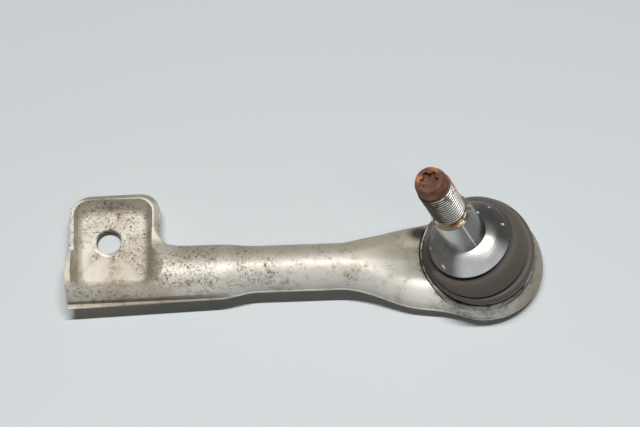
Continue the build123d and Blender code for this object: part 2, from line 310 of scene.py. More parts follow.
class Recipe(Bench):
    """One procedural material on Object coordinates, in millimetres."""

    def __init__(self, name: str) -> None:
        """Start an empty material.

        Args:
            name: name of the material.
        """
        self.material = bpy.data.materials.new(name)
        self.material.use_nodes = True
        super().__init__(self.material.node_tree)
        self.tree.nodes.clear()
        metres = self.out("ShaderNodeTexCoord", {}, {}, "Object")
        self.place = self.out("ShaderNodeVectorMath", {"operation": "SCALE"}, {0: metres, "Scale": 1 / MM})

    def wire(self, kind: str, settings: Settings, inputs: Inputs, output: Key = 0) -> Wire:
        """Add a node and wrap one of its outputs as a number."""
        return Wire(self, self.out(kind, settings, inputs, output))

    def vector(self, operation: str, first: object, second: object) -> bpy.types.NodeSocket:
        """Vector that a Vector Math node gives."""
        return self.out("ShaderNodeVectorMath", {"operation": operation}, {0: first, 1: second})

    def measure(self, operation: str, *values: object) -> Wire:
        """Number that a Vector Math node gives."""
        return self.wire("ShaderNodeVectorMath", {"operation": operation}, dict(enumerate(values)), VECTOR_NUMBER)

    def noise(self, noise: Noise, stretch: Optional[Point] = None) -> Wire:
        """Lay a noise over the piece.

        Args:
            noise: its sizes and its cut.
            stretch: factor of each coordinate, for a pattern with a grain.

        Returns:
            The noise between 0 and 1, or its blotches where it has a cut.
        """
        place = self.place
        if stretch is not None:
            place = self.out("ShaderNodeMapping", {"vector_type": "POINT"}, {"Vector": place, "Scale": stretch})
        inputs = {"Vector": place, "Scale": 1 / noise.size, "Detail": noise.detail, "Roughness": noise.rough}
        cloudy = self.wire("ShaderNodeTexNoise", {}, inputs)
        return cloudy if noise.cut is None else cloudy.rise(*noise.cut)

    def cells(self, size: float) -> Wire:
        """Distance to the nearest of scattered points, about 0 to 1."""
        return self.wire("ShaderNodeTexVoronoi", {"feature": "F1"}, {"Vector": self.place, "Scale": 1 / size})

    def near(self, *patches: Patch) -> Wire:
        """Mask of one or more round patches.

        Args:
            patches: the patches, of which the strongest counts at every spot.

        Returns:
            The mask as a wire.
        """
        masks = [
            self.measure("DISTANCE", self.place, patch.at).rise(patch.reach + patch.soft, patch.reach)
            for patch in patches
        ]
        return reduce(Wire.larger, masks)

    def zone(self, *zones: Zone) -> Wire:
        """Mask of one or more zones.

        Args:
            zones: the zones, of which the strongest counts at every spot.

        Returns:
            The mask as a wire.
        """
        masks = []
        for zone in zones:
            parts = [] if zone.facing is None else [self.facing(zone.facing).rise(*zone.levels)]
            parts += [self.axis(axis).rise(*span) for axis, span in zone.steps]
            mask = reduce(Wire.__mul__, parts)
            masks.append(mask if zone.share == 1.0 else mask * zone.share)
        return reduce(Wire.larger, masks)

    def along(self, origin: Point, direction: Point) -> Wire:
        """Distance along a direction from an origin, in millimetres."""
        return self.measure("DOT_PRODUCT", self.vector("SUBTRACT", self.place, origin), direction)

    def radial(self, origin: Point, direction: Point) -> Wire:
        """Distance from a straight line through the origin, in millimetres."""
        moved = self.vector("SUBTRACT", self.place, origin)
        return self.measure("LENGTH", self.vector("CROSS_PRODUCT", moved, direction))

    def axis(self, axis: Axis) -> Wire:
        """One of the coordinates, in millimetres."""
        return self.wire("ShaderNodeSeparateXYZ", {}, {0: self.place}, axis.value)

    def facing(self, direction: Point) -> Wire:
        """How much the surface faces a direction, from -1 to 1."""
        return self.measure("DOT_PRODUCT", self.out("ShaderNodeNewGeometry", {}, {}, "Normal"), direction)

    def rings(self, height: Wire, rate: float) -> Wire:
        """Lathe rings between 0 and 1, which follow one another along a height."""
        return (height * rate).sine() * 0.5 + 0.5

    def bump(self, height: Wire, relief: Span, under: Optional[bpy.types.NodeSocket] = None) -> bpy.types.NodeSocket:
        """Bump the surface.

        Args:
            height: wire that rises where the surface does.
            relief: strength, and height of a full step in millimetres.
            under: normal that this bump lies on.

        Returns:
            The normal as a socket.
        """
        strength, step = relief
        inputs: Inputs = {"Height": height, "Strength": strength, "Distance": step * MM}
        if under is not None:
            inputs["Normal"] = under
        return self.out("ShaderNodeBump", {}, inputs)

    def serve(
        self, colour: Tint, metal: Value, rough: Value, normal: bpy.types.NodeSocket, **plain: Number
    ) -> bpy.types.Material:
        """Close the material with one Principled shader.

        Args:
            colour: base colour or its socket.
            metal: metallic value or wire.
            rough: roughness value or wire.
            normal: normal of the bumped surface.
            plain: further sockets that are the same all over.

        Returns:
            The material.
        """
        inputs = {"Base Color": filled(colour), "Metallic": metal, "Roughness": rough, "Normal": normal, **plain}
        shader = self.out("ShaderNodeBsdfPrincipled", {}, inputs)
        self.node("ShaderNodeOutputMaterial", {}, {"Surface": shader})
        return self.material


def filled(colour: Tint) -> object:
    """A colour with full alpha, or the socket as it is."""
    return (*colour, 1.0) if isinstance(colour, tuple) else colour


@dataclass(frozen=True)
class Lean:
    """The stud's own frame: it leans out of the socket about the centre of the ball."""

    ball: Point = (154.5, -16.5, 16.5)
    angle: float = math.radians(21.3)
    azimuth: float = math.radians(173.6)

    def directions(self, share: float = 1.0) -> tuple[Vector, Vector, Vector]:
        """Axis, lean direction and side of a plane turned by a share of the lean.

        Args:
            share: share of the lean that it takes.

        Returns:
            The three directions, at right angles to one another.
        """
        lean = self.angle * share
        flat = Vector((math.cos(self.azimuth), math.sin(self.azimuth), 0))
        axis = flat * math.sin(lean) + Vector((0, 0, math.cos(lean)))
        across = flat * math.cos(lean) - Vector((0, 0, math.sin(lean)))
        return axis, across, axis.cross(across)

    def circle(
        self, height: float, radius: float, count: int, share: float = 1.0, shift: float = 0.0, oval: float = 1.0
    ) -> list[Point]:
        """Points on a leaning circle.

        Args:
            height: distance above the ball centre along the axis.
            radius: radius of the circle.
            count: number of points.
            share: share of the lean that the circle takes.
            shift: sideways shift away from the lean.
            oval: how much shorter the radius along the lean is.

        Returns:
            The points in millimetres, counter-clockwise about the axis.
        """
        axis, across, side = self.directions(share)
        centre = Vector(self.ball) + axis * height - across * shift
        turns = [FULL_TURN * index / count for index in range(count)]
        return [
            tuple(centre + (across * math.cos(turn) * oval + side * math.sin(turn)) * radius) for turn in turns
        ]

    def axis(self) -> Point:
        """Direction of the stud."""
        return tuple(self.directions()[0])

    def towards(self, turn: float) -> Point:
        """Direction out of the stud, turned about it from the side it leans to.

        Args:
            turn: angle in radians.

        Returns:
            The direction, of length 1.
        """
        _, across, side = self.directions()
        return tuple(across * math.cos(turn) + side * math.sin(turn))

    def spot(self, height: float) -> Point:
        """Point on the stud's axis."""
        return tuple(Vector(self.ball) + self.directions()[0] * height)

    def patch(self, height: float, radius: float, shares: Span, reach: float, soft: float) -> Patch:
        """Round mask on the stud's skin.

        Args:
            height: distance above the ball centre along the axis.
            radius: distance from the axis.
            shares: how far it lies to the side of the lean and how far to the front, whatever their length.
            reach: radius of the mask.
            soft: width of its edge.

        Returns:
            The patch.
        """
        axis, across, side = self.directions()
        offset = across * shares[0] - side * shares[1]
        return Patch(tuple(Vector(self.ball) + axis * height + offset.normalized() * radius), reach, soft)


LEAN = Lean()


@dataclass(frozen=True)
class SatinSheet:
    """Bare pressed steel of the arm: warm satin grey, dotted with brown dirt, with painted shade and painted
    highlights.

    A share says how much of a colour covers what lies below it.
    """

    steel: Colour = (0.690, 0.650, 0.572)
    shade: Colour = (0.560, 0.518, 0.442)
    painted_shade: Colour = (0.330, 0.295, 0.235)
    soil: Colour = (0.300, 0.230, 0.145)
    dirt: Colour = (0.085, 0.054, 0.028)
    # Colour of the painted highlights
    painted_highlight: Colour = (0.93, 0.905, 0.85)
    # Grease; also the colour of the painted shade in the bolt hole and of the painted shadow on the neck
    grease: Colour = (0.026, 0.020, 0.012)
    straw: Colour = (0.50, 0.40, 0.20)

    clouds: Noise = Noise(24.0, 4.0, 0.6)
    shade_cut: Span = (0.36, 0.66)
    patches: Noise = Noise(5.0, 4.0, 0.6)
    soil_cut: Span = (0.50, 0.72)
    soil_share: float = 0.40
    smears: Noise = Noise(3.2, 4.0, 0.65, (0.50, 0.66))
    smear_groups: Noise = Noise(15.0, 2.0, cut=(0.48, 0.60))
    smear_share: float = 0.70

    # Painted shade on the sides turned away from the light
    shaded_zones: tuple[Zone, ...] = (
        Zone(((Axis.Y, (-20.5, -12.5)), (Axis.X, (24.0, 34.0)))),
        Zone(((Axis.X, (168.0, 178.0)),)),
        Zone(((Axis.Y, (8.0, 13.0)),), BEHIND, (0.25, 0.7)),
        Zone(((Axis.X, (-9.0, -12.0)),), LEFT),
        Zone(((Axis.X, (12.0, 15.0)),), LEFT, share=0.6),
    )
    shaded_share: float = 0.85
    # Painted highlights on faces that catch the light, and along the crest of the rod
    lit: tuple[Zone, ...] = (
        Zone(((Axis.Y, (-22.0, -29.0)), (Axis.X, (24.0, 34.0)), (Axis.X, (172.0, 160.0))), share=0.6),
        Zone(((Axis.Y, (5.0, 9.0)),), FRONT, share=0.55),
        Zone(((Axis.Z, (12.5, 12.95)), (Axis.Y, (-5.0, -3.0)), (Axis.X, (27.0, 22.0))), UP, (0.85, 0.97), 0.2),
    )
    crest_highlight: Zone = Zone(
        ((Axis.Y, (-28.5, -26.0)), (Axis.Y, (-17.5, -20.0)), (Axis.X, (22.0, 28.0)), (Axis.X, (128.0, 122.0))),
        share=0.6,
    )
    crest_highlight_cut: Span = (0.2, 0.6)

    clusters: Noise = Noise(9.0, 4.0, 0.65)
    cluster_cut: Span = (0.53, 0.66)
    thick_lug: Patch = Patch((0.0, 6.0, 4.0), 13.0, 14.0)
    thick_crest: Patch = Patch((38.0, -15.5, 20.0), 12.0, 34.0)
    thick_smudge: Patch = Patch((-4.0, -25.0, 12.0), 8.0, 10.0)
    thickening: float = 0.17
    clean_floor: Patch = Patch((3.0, -12.0, 3.0), 5.0, 6.0)
    clean_floor_share: float = 0.8
    clean_front: Zone = Zone(((Axis.Y, (-25.0, -30.0)), (Axis.X, (22.0, 32.0))), share=0.16)
    fine_specks: Noise = Noise(0.5, 3.0, 0.6, (0.54, 0.64))
    fine_share: float = 0.8
    coarse_specks: Noise = Noise(1.4, 5.0, 0.75, (0.54, 0.62))
    grain_size: float = 1.7
    grain_cut: Span = (0.24, 0.10)
    grain_groups: Noise = Noise(6.0, cut=(0.50, 0.62))
    grain_share: float = 0.75
    dirt_share: float = 0.88

    lip_at: Point = (-15.5, -30.5, 0.0)
    lip_across: Point = (-0.015, 1.0, 0.0)
    lip_end: Span = (70.0, 30.0)
    lip_soil: Span = (0.1, -0.4)
    lip_soil_share: float = 0.55
    # Painted highlight along the trimmed lip
    lip_highlight: Span = (-1.4, -1.7)
    lip_highlight_share: float = 0.4
    lip_line: tuple[float, float, float] = (-0.4, 0.05, 0.15)
    lip_line_share: float = 0.6

    hole_at: Point = (0.0, 0.0, 0.0)
    # Painted shade in the wall and upper rim of the bolt hole, and a painted highlight low on its rim
    hole_wall_shade: Span = (5.5, 5.3)
    hole_rim_shade: Span = (6.4, 5.7)
    hole_rim_shade_side: Span = (0.0, 4.0)
    hole_shade_share: float = 0.88
    hole_highlight: tuple[float, float, float] = (5.35, 6.5, 0.3)
    hole_highlight_towards: Point = (-0.5, -0.87, 0.0)
    hole_highlight_from: Span = (4.8, 5.6)
    hole_highlight_share: float = 0.8

    # Painted highlight on the neck in front of the boot
    neck_highlight: Patch = Patch((131.5, -32.5, 13.5), 3.0, 8.0)
    neck_highlight_share: float = 0.8
    straw_corner: Patch = Patch((-15.0, -20.0, 17.0), 2.0, 5.0)
    straw_cut: Span = (0.4, 0.6)
    straw_share: float = 0.5
    # Painted shadow on the neck behind the boot
    neck_shadow: Patch = Patch((131.2, -6.0, 14.3), 1.8, 4.8)
    neck_shadow_side: Span = (-14.5, -8.5)
    neck_shadow_base: float = 0.65
    neck_shadow_mottle: float = 0.75
    rim: Patch = Patch((154.5, -16.5, 11.0), 24.2, 2.6)
    rim_film: Noise = Noise(2.4, 4.0, 0.65, (0.47, 0.64))
    rim_share: float = 0.6
    front_rim: Patch = Patch((154.5, -16.5, 11.0), 26.5, 3.0)
    front_side: Span = (-34.0, -39.0)
    front_film: Noise = Noise(1.6, 4.0, 0.6, (0.50, 0.64))
    front_stretch: Point = (0.35, 1.0, 1.0)
    front_share: float = 0.4

    grain: Noise = Noise(1.0, 3.0, 0.6)
    grain_stretch: Point = (0.05, 1.4, 1.4)
    grain_relief: Span = (0.10, 0.10)
    skin: Noise = Noise(1.3, 4.0, 0.6)
    skin_relief: Span = (0.22, 0.20)
    waves: Noise = Noise(14.0, 1.0)
    wave_relief: Span = (0.35, 1.0)
    dirt_relief: Span = (0.45, 0.08)
    rough: float = 0.43
    rough_by_clouds: float = 0.14
    rough_by_grain: float = 0.06
    rough_by_dirt: float = 0.20
    smooth_by_grease_and_shadow: float = 0.06
    metal: float = 0.22
    metal_under_dirt: float = 0.20

    def spatter(self, mix: Recipe) -> Wire:
        """Specks of dirt in clusters, thickest in the lug and on the crest of the rod.

        Args:
            mix: recipe of the material.

        Returns:
            Their mask.
        """
        thick = mix.near(self.thick_lug, self.thick_crest, self.thick_smudge)
        thick = thick - mix.near(self.clean_floor) * self.clean_floor_share
        gate = mix.noise(self.clusters) + self.thickening * thick - mix.zone(self.clean_front)
        specks = (mix.noise(self.fine_specks) * self.fine_share).larger(mix.noise(self.coarse_specks))
        grains = mix.cells(self.grain_size).rise(*self.grain_cut) * mix.noise(self.grain_groups)
        return (specks * gate.rise(*self.cluster_cut)).larger(grains * self.grain_share)

    def lighting(self, mix: Recipe, colour: Tint, clouds: Wire) -> Tint:
        """Paint shade on the sides turned away from the light, and painted highlights on the ones that catch it.

        Args:
            mix: recipe of the material.
            colour: colour so far.
            clouds: noise that breaks the painted highlight along the rod.

        Returns:
            The colour with both.
        """
        colour = mix.blend(mix.zone(*self.shaded_zones) * self.shaded_share, colour, self.painted_shade)
        lit = mix.zone(*self.lit).larger(mix.zone(self.crest_highlight) * clouds.rise(*self.crest_highlight_cut))
        return mix.blend(lit, colour, self.painted_highlight)

    def edges(self, mix: Recipe, colour: Tint) -> Tint:
        """Paint the cut edges: the trimmed lip along the front, soiled and with a painted highlight, and the bolt
        hole, with painted shade in its wall and upper rim and a painted highlight low on its rim.

        Args:
            mix: recipe of the material.
            colour: colour so far.

        Returns:
            The colour with its edges.
        """
        behind = mix.along(self.lip_at, self.lip_across)
        wide = mix.axis(Axis.X).rise(*self.lip_end)
        colour = mix.blend(behind.rise(*self.lip_soil) * wide * self.lip_soil_share, colour, self.soil)
        colour = mix.blend(behind.rise(*self.lip_highlight) * wide * self.lip_highlight_share, colour, self.painted_highlight)
        colour = mix.blend(behind.band(*self.lip_line) * wide * self.lip_line_share, colour, self.dirt)
        # Painted shade in the hole's wall, in the grease colour, then a painted highlight low on its rim
        from_hole = mix.radial(self.hole_at, UP)
        upper = from_hole.rise(*self.hole_rim_shade) * mix.axis(Axis.Y).rise(*self.hole_rim_shade_side)
        shaded_wall = from_hole.rise(*self.hole_wall_shade).larger(upper)
        colour = mix.blend(shaded_wall * self.hole_shade_share, colour, self.grease)
        hole_highlight = from_hole.band(*self.hole_highlight) * mix.along(self.hole_at, self.hole_highlight_towards).rise(*self.hole_highlight_from)
        return mix.blend(hole_highlight * self.hole_highlight_share, colour, self.painted_highlight)

    def grease_and_shadow(self, mix: Recipe, patches: Wire) -> Wire:
        """Grease films on the eye's rim, and a painted shadow on the neck behind the boot.

        Args:
            mix: recipe of the material.
            patches: noise that mottles the painted shadow.

        Returns:
            Its mask.
        """
        # Painted shadow on the neck behind the boot
        neck_shadow = mix.near(self.neck_shadow) * (self.neck_shadow_base + self.neck_shadow_mottle * patches).smaller(1.0)
        neck_shadow = neck_shadow * mix.axis(Axis.Y).rise(*self.neck_shadow_side)
        rim_film = mix.near(self.rim) * mix.noise(self.rim_film) * self.rim_share
        front_film = mix.near(self.front_rim) * mix.axis(Axis.Y).rise(*self.front_side)
        front_film = front_film * mix.noise(self.front_film, self.front_stretch) * self.front_share
        return neck_shadow.larger(rim_film).larger(front_film)

    def material(self) -> bpy.types.Material:
        """Mix the sheet metal.

        Returns:
            The material.
        """
        mix = Recipe("satin_sheet")
        clouds = mix.noise(self.clouds)
        patches = mix.noise(self.patches)
        dirt = self.spatter(mix)
        grease_and_shadow = self.grease_and_shadow(mix, patches)
        colour = mix.blend(clouds.rise(*self.shade_cut), self.steel, self.shade)
        colour = self.lighting(mix, colour, clouds)
        colour = mix.blend(patches.rise(*self.soil_cut) * self.soil_share, colour, self.soil)
        smear = mix.noise(self.smears) * mix.noise(self.smear_groups)
        colour = mix.blend(smear * self.smear_share, colour, self.soil)
        # Painted highlight on the neck in front of the boot
        colour = mix.blend(mix.near(self.neck_highlight) * self.neck_highlight_share, colour, self.painted_highlight)
        colour = mix.blend(dirt * self.dirt_share, colour, self.dirt)
        colour = self.edges(mix, colour)
        straw = mix.near(self.straw_corner) * patches.rise(*self.straw_cut) * self.straw_share
        colour = mix.blend(straw, colour, self.straw)
        # Grease films, and the painted shadow on the neck
        colour = mix.blend(grease_and_shadow, colour, self.grease)
        grain = mix.noise(self.grain, self.grain_stretch)
        rough = self.rough + self.rough_by_clouds * clouds + self.rough_by_grain * grain
        rough = rough + self.rough_by_dirt * dirt - self.smooth_by_grease_and_shadow * grease_and_shadow
        normal = mix.bump(grain, self.grain_relief)
        normal = mix.bump(mix.noise(self.skin), self.skin_relief, normal)
        normal = mix.bump(mix.noise(self.waves), self.wave_relief, normal)
        normal = mix.bump(dirt, self.dirt_relief, normal)
        return mix.serve(colour, self.metal - self.metal_under_dirt * dirt, rough, normal)


@dataclass(frozen=True)
class TurnedSteel:
    """Turned steel with fine lathe rings about the stud or the socket."""

    name: str
    steel: Colour
    shade: Colour
    rough: float
    upright: bool = False
    grease: float = 0.0
    film: Colour = (0.03, 0.026, 0.02)
    clouds: Noise = Noise(6.0, 4.0, 0.6)
    shade_cut: Span = (0.35, 0.7)
    film_patches: Noise = Noise(2.2, 4.0, 0.65, (0.48, 0.66))
    ring_rate: float = 9.0
    ring_relief: Span = (0.06, 0.03)
    skin: Noise = Noise(0.9)
    skin_relief: Span = (0.08, 0.06)
    rough_by_clouds: float = 0.08
    rough_by_rings: float = 0.05
    metal_under_film: float = 0.6

    def material(self) -> bpy.types.Material:
        """Mix the turned steel.

        Returns:
            The material.
        """
        mix = Recipe(self.name)
        height = mix.along(LEAN.ball, UP if self.upright else LEAN.axis())
        clouds = mix.noise(self.clouds)
        film = mix.noise(self.film_patches) * self.grease
        rings = mix.rings(height, self.ring_rate)
        colour = mix.blend(clouds.rise(*self.shade_cut), self.steel, self.shade)
        colour = mix.blend(film, colour, self.film)
        rough = self.rough + self.rough_by_clouds * clouds + self.rough_by_rings * rings
        normal = mix.bump(rings, self.ring_relief)
        normal = mix.bump(mix.noise(self.skin), self.skin_relief, normal)
        return mix.serve(colour, 1.0 - self.metal_under_film * film, rough, normal)


@dataclass(frozen=True)
class DarkPolish:
    """Dark polished steel of the collar, with a painted highlight fanning out to the front-right, painted shade on
    the right and painted glints on its dents.

    A dent is given by its distance from the stud's axis, its height above the ball and its turn in degrees.
    """

    steel: Colour = (0.150, 0.143, 0.135)
    worn: Colour = (0.215, 0.20, 0.185)
    scuffed: Colour = (0.42, 0.40, 0.37)
    # Colours of the painted highlight, the painted shade and the painted glints
    fan_highlight: Colour = (0.84, 0.83, 0.82)
    fan_shade: Colour = (0.060, 0.058, 0.055)
    glint: Colour = (0.86, 0.85, 0.82)
    clouds: Noise = Noise(9.0, 3.0, 0.6)
    worn_cut: Span = (0.4, 0.7)
    scuffs: Noise = Noise(0.8, 4.0, 0.6, (0.62, 0.72))
    scuff_stretch: Point = (0.7, 0.7, 2.5)
    scuff_share: float = 0.25
    # Painted highlight fanning out to the front-right, and painted shade on the right
    fan_highlight_turn: float = math.radians(119.0)
    fan_highlight_spread: Span = (0.58, 0.92)
    fan_highlight_base: float = 0.60
    fan_highlight_mottle: float = 0.5
    fan_shade_turn: float = math.radians(205.0)
    fan_shade_spread: Span = (0.50, 0.92)
    fan_shade_share: float = 0.58
    dents: tuple[tuple[float, float, float], ...] = (
        (15.0, 16.4, 232.0),
        (9.8, 19.5, 236.0),
        (15.2, 16.2, 194.0),
        (15.45, 15.9, 194.0),
        (15.6, 15.7, 52.0),
        (15.85, 15.4, 55.0),
        (15.6, 15.7, 14.0),
    )
    dent_reach: float = 0.3
    dent_soft: float = 0.55
    glint_share: float = 0.8
    dent_relief: Span = (0.8, 0.35)
    ring_rate: float = 7.0
    ring_relief: Span = (0.04, 0.03)
    rough: float = 0.34
    rough_by_clouds: float = 0.07
    rough_by_scuffs: float = 0.10
    rough_by_rings: float = 0.03

    def fan(self, mix: Recipe, turn: float, span: Span) -> Wire:
        """Mask that fans out from the stud's axis in one direction."""
        return (mix.along(LEAN.ball, LEAN.towards(turn)) / mix.radial(LEAN.ball, LEAN.axis())).rise(*span)

    def dented(self, mix: Recipe) -> Wire:
        """Mask of the dents.

        Args:
            mix: recipe of the material.

        Returns:
            The mask as a wire.
        """
        spots = []
        for radius, height, degrees in self.dents:
            out = Vector(LEAN.towards(math.radians(degrees))) * radius
            spots.append(Patch(tuple(Vector(LEAN.spot(height)) + out), self.dent_reach, self.dent_soft))
        return mix.near(*spots)

    def material(self) -> bpy.types.Material:
        """Mix the polish.

        Returns:
            The material.
        """
        mix = Recipe("dark_polish")
        clouds = mix.noise(self.clouds)
        scuffs = mix.noise(self.scuffs, self.scuff_stretch)
        dents = self.dented(mix)
        rings = mix.rings(mix.along(LEAN.ball, LEAN.axis()), self.ring_rate)
        colour = mix.blend(clouds.rise(*self.worn_cut), self.steel, self.worn)
        colour = mix.blend(scuffs * self.scuff_share, colour, self.scuffed)
        # Painted highlight fanning out to the front-right, then painted shade on the right and painted glints
        mottle = (self.fan_highlight_base + self.fan_highlight_mottle * clouds).smaller(1.0)
        fan_highlight = self.fan(mix, self.fan_highlight_turn, self.fan_highlight_spread) * mottle
        colour = mix.blend(fan_highlight, colour, self.fan_highlight)
        colour = mix.blend(self.fan(mix, self.fan_shade_turn, self.fan_shade_spread) * self.fan_shade_share, colour, self.fan_shade)
        colour = mix.blend(dents * self.glint_share, colour, self.glint)
        rough = self.rough + self.rough_by_clouds * clouds + self.rough_by_scuffs * scuffs
        rough = rough + self.rough_by_rings * rings
        normal = mix.bump(rings, self.ring_relief)
        normal = mix.bump(1 - dents, self.dent_relief, normal)
        return mix.serve(colour, 1.0, rough, normal)


@dataclass(frozen=True)
class RustyStud:
    """Stud: brown rust on its tip, orange bloom in places, bright flanks, painted shade in the thread's grooves, and
    a polished taper with painted shading and a painted reflection line.

    Heights are counted along the stud from the centre of the ball.
    """

    bright: Colour = (0.86, 0.84, 0.80)
    taper: Colour = (0.215, 0.212, 0.21)
    taper_light: Colour = (0.52, 0.515, 0.51)
    groove_right: Colour = (0.060, 0.050, 0.036)
    groove_left: Colour = (0.022, 0.015, 0.008)
    brown: Colour = (0.098, 0.052, 0.032)
    red: Colour = (0.215, 0.075, 0.045)
    orange: Colour = (0.50, 0.200, 0.062)
    olive: Colour = (0.230, 0.168, 0.092)

    fine: Noise = Noise(0.55, 5.0, 0.65)
    blotches: Noise = Noise(2.6, 4.0, 0.6)
    red_patches: Noise = Noise(1.7, 4.0, 0.6, (0.42, 0.62))
    tip_from: float = 60.9
    tip_soft: Span = (-0.2, 1.2)
    neck_low: float = 38.2
    neck_high: float = 41.4
    neck_soft: float = 0.4
    neck_cut: Span = (0.34, 0.5)
    neck_share: float = 0.9
    thread_soft: float = 0.5
    # Painted shade in the grooves of the thread
    groove_radii: Span = (6.93, 6.62)
    groove_share: float = 0.96
    left_from: Span = (-0.9, 3.6)
    left_share: float = 0.85
    # Painted shading across the taper
    taper_shade: Span = (6.6, 12.6)
    taper_soft: float = 0.3
    bloom_heights: Span = (50.0, 58.0)
    bloom_cut: Span = (0.50, 0.60)
    bloom_share: float = 0.75

    # Painted reflection line down the taper
    glint_heights: Span = (20.5, 38.5)
    glint_radii: Span = (9.06, 8.18)
    glint_shares: Span = (-0.616, -0.788)
    glint_reach: Span = (0.16, 0.42)
    glint_steps: int = 24
    glint_share: float = 0.75

    low_rust: Patch = LEAN.patch(45.0, 7.0, (-0.85, 0.5), 2.2, 2.6)
    low_rust_cut: Span = (0.82, 1.0)
    high_rust: Patch = LEAN.patch(56.5, 7.0, (-0.75, 0.55), 2.8, 3.4)
    high_rust_cut: Span = (0.84, 1.0)
    neck_rust: Patch = LEAN.patch(39.6, 6.3, (-0.35, -0.95), 0.9, 1.6)
    neck_rust_share: float = 0.9
    orange_cut: Span = (0.4, 0.6)
    glows: tuple[Patch, ...] = (
        LEAN.patch(65.4, 6.0, (-0.45, 0.9), 1.2, 2.6),
        LEAN.patch(66.7, 4.0, (0.98, 0.2), 0.7, 1.5),
    )
    weak_glow: Patch = LEAN.patch(63.0, 6.4, (-0.1, -1.0), 0.8, 2.0)
    weak_glow_share: float = 0.6
    fine_relief: Span = (0.10, 0.04)
    rust_relief: Span = (0.55, 0.22)
    tip_wander: float = 1.1
    left_wander: float = 3.0
    bloom_wander: float = 2.0
    taper_shade_back: float = 0.75
    taper_shade_up: float = 0.16
    glow_base: float = 0.4
    bloom_dullness: float = 0.8
    left_dullness: float = 0.9
    groove_dullness: float = 0.75
    rough: float = 0.20
    rough_by_blotches: float = 0.06
    rough_by_thread: float = 0.07
    rough_by_dullness: float = 0.42
    metal_under_rust: float = 0.92

    def glint(self, mix: Recipe) -> Wire:
        """Mask of the painted reflection line down the taper.

        Args:
            mix: recipe of the material.

        Returns:
            The mask as a wire.
        """
        spots = []
        for step in range(self.glint_steps):
            share = step / (self.glint_steps - 1)
            height, radius = (low + (high - low) * share for low, high in (self.glint_heights, self.glint_radii))
            spots.append(LEAN.patch(height, radius, self.glint_shares, *self.glint_reach))
        return mix.near(*spots)

    def steel(self, mix: Recipe, height: Wire) -> Tint:
        """Colour of the polished taper with its painted shading and painted reflection line, under the bright flanks
        of the rest.

        Args:
            mix: recipe of the material.
            height: height along the stud.

        Returns:
            The colour as a socket.
        """
        _, across, side = LEAN.directions()
        leftward = mix.along(LEAN.ball, tuple(across))
        backward = mix.along(LEAN.ball, tuple(side)) * -1
        # Painted shading across the taper
        shaded = (leftward - backward * self.taper_shade_back + height * self.taper_shade_up).rise(*self.taper_shade)
        polished = mix.blend(shaded, self.taper, self.taper_light)
        ended = height.rise(self.neck_low - self.taper_soft, self.neck_low)
        colour = mix.blend(ended, polished, self.bright)
        return mix.blend(self.glint(mix) * self.glint_share, colour, self.bright)

    def rust(self, mix: Recipe, fine: Wire) -> Tint:
        """Colour of the tip: brown and red, with an orange glow in places.

        Args:
            mix: recipe of the material.
            fine: fine noise that breaks the glow.

        Returns:
            The colour as a socket.
        """
        colour = mix.blend(mix.noise(self.red_patches), self.brown, self.red)
        glow = mix.near(*self.glows).larger(mix.near(self.weak_glow) * self.weak_glow_share)
        return mix.blend(glow * (fine + self.glow_base).smaller(1.0), colour, self.orange)

    def patches(self, mix: Recipe, mottle: Wire) -> Wire:
        """Mask of the single patches of rust below the tip.

        Args:
            mix: recipe of the material.
            mottle: noise that frays them.

        Returns:
            The mask as a wire.
        """
        low = mix.near(self.low_rust) * mottle.rise(*self.low_rust_cut)
        high = mix.near(self.high_rust) * mottle.rise(*self.high_rust_cut)
        return low.larger(high).larger(mix.near(self.neck_rust) * self.neck_rust_share)

    def material(self) -> bpy.types.Material:
        """Mix the stud's steel and rust.

        Returns:
            The material.
        """
        mix = Recipe("rusty_stud")
        fine = mix.noise(self.fine)
        blotch = mix.noise(self.blotches)
        height = mix.along(LEAN.ball, LEAN.axis())
        leftward = mix.along(LEAN.ball, LEAN.towards(0.0))
        tip = (height + self.tip_wander * blotch).rise(*(self.tip_from + soft for soft in self.tip_soft))
        neck = height.band(self.neck_low, self.neck_high, self.neck_soft) * blotch.rise(*self.neck_cut)
        threaded = height.band(self.neck_high, self.tip_from, self.thread_soft)
        groove = mix.radial(LEAN.ball, LEAN.axis()).rise(*self.groove_radii) * threaded
        left_side = (leftward + self.left_wander * blotch).rise(*self.left_from)
        upper = (height + self.bloom_wander * fine).rise(*self.bloom_heights)
        bloom = blotch.rise(*self.bloom_cut) * threaded * upper * self.bloom_share
        patches = self.patches(mix, fine + blotch)
        colour = self.steel(mix, height)
        colour = mix.blend(threaded * left_side * self.left_share, colour, self.olive)
        # Painted shade in the grooves of the thread
        groove_tint = mix.blend(left_side, self.groove_right, self.groove_left)
        colour = mix.blend(groove * self.groove_share, colour, groove_tint)
        colour = mix.blend(neck * self.neck_share, colour, self.olive)
        colour = mix.blend(bloom, colour, self.brown)
        colour = mix.blend(tip, colour, self.rust(mix, fine))
        colour = mix.blend(patches, colour, mix.blend(fine.rise(*self.orange_cut), self.orange, self.red))
        rusted = tip.larger(patches).larger(bloom * self.bloom_dullness)
        dulled = rusted.larger(threaded * left_side * self.left_dullness).larger(groove * self.groove_dullness)
        rough = self.rough + self.rough_by_blotches * blotch + self.rough_by_thread * threaded
        rough = rough + self.rough_by_dullness * dulled
        normal = mix.bump(fine, self.fine_relief)
        normal = mix.bump(fine * rusted, self.rust_relief, normal)
        return mix.serve(colour, 1.0 - self.metal_under_rust * dulled, rough, normal)


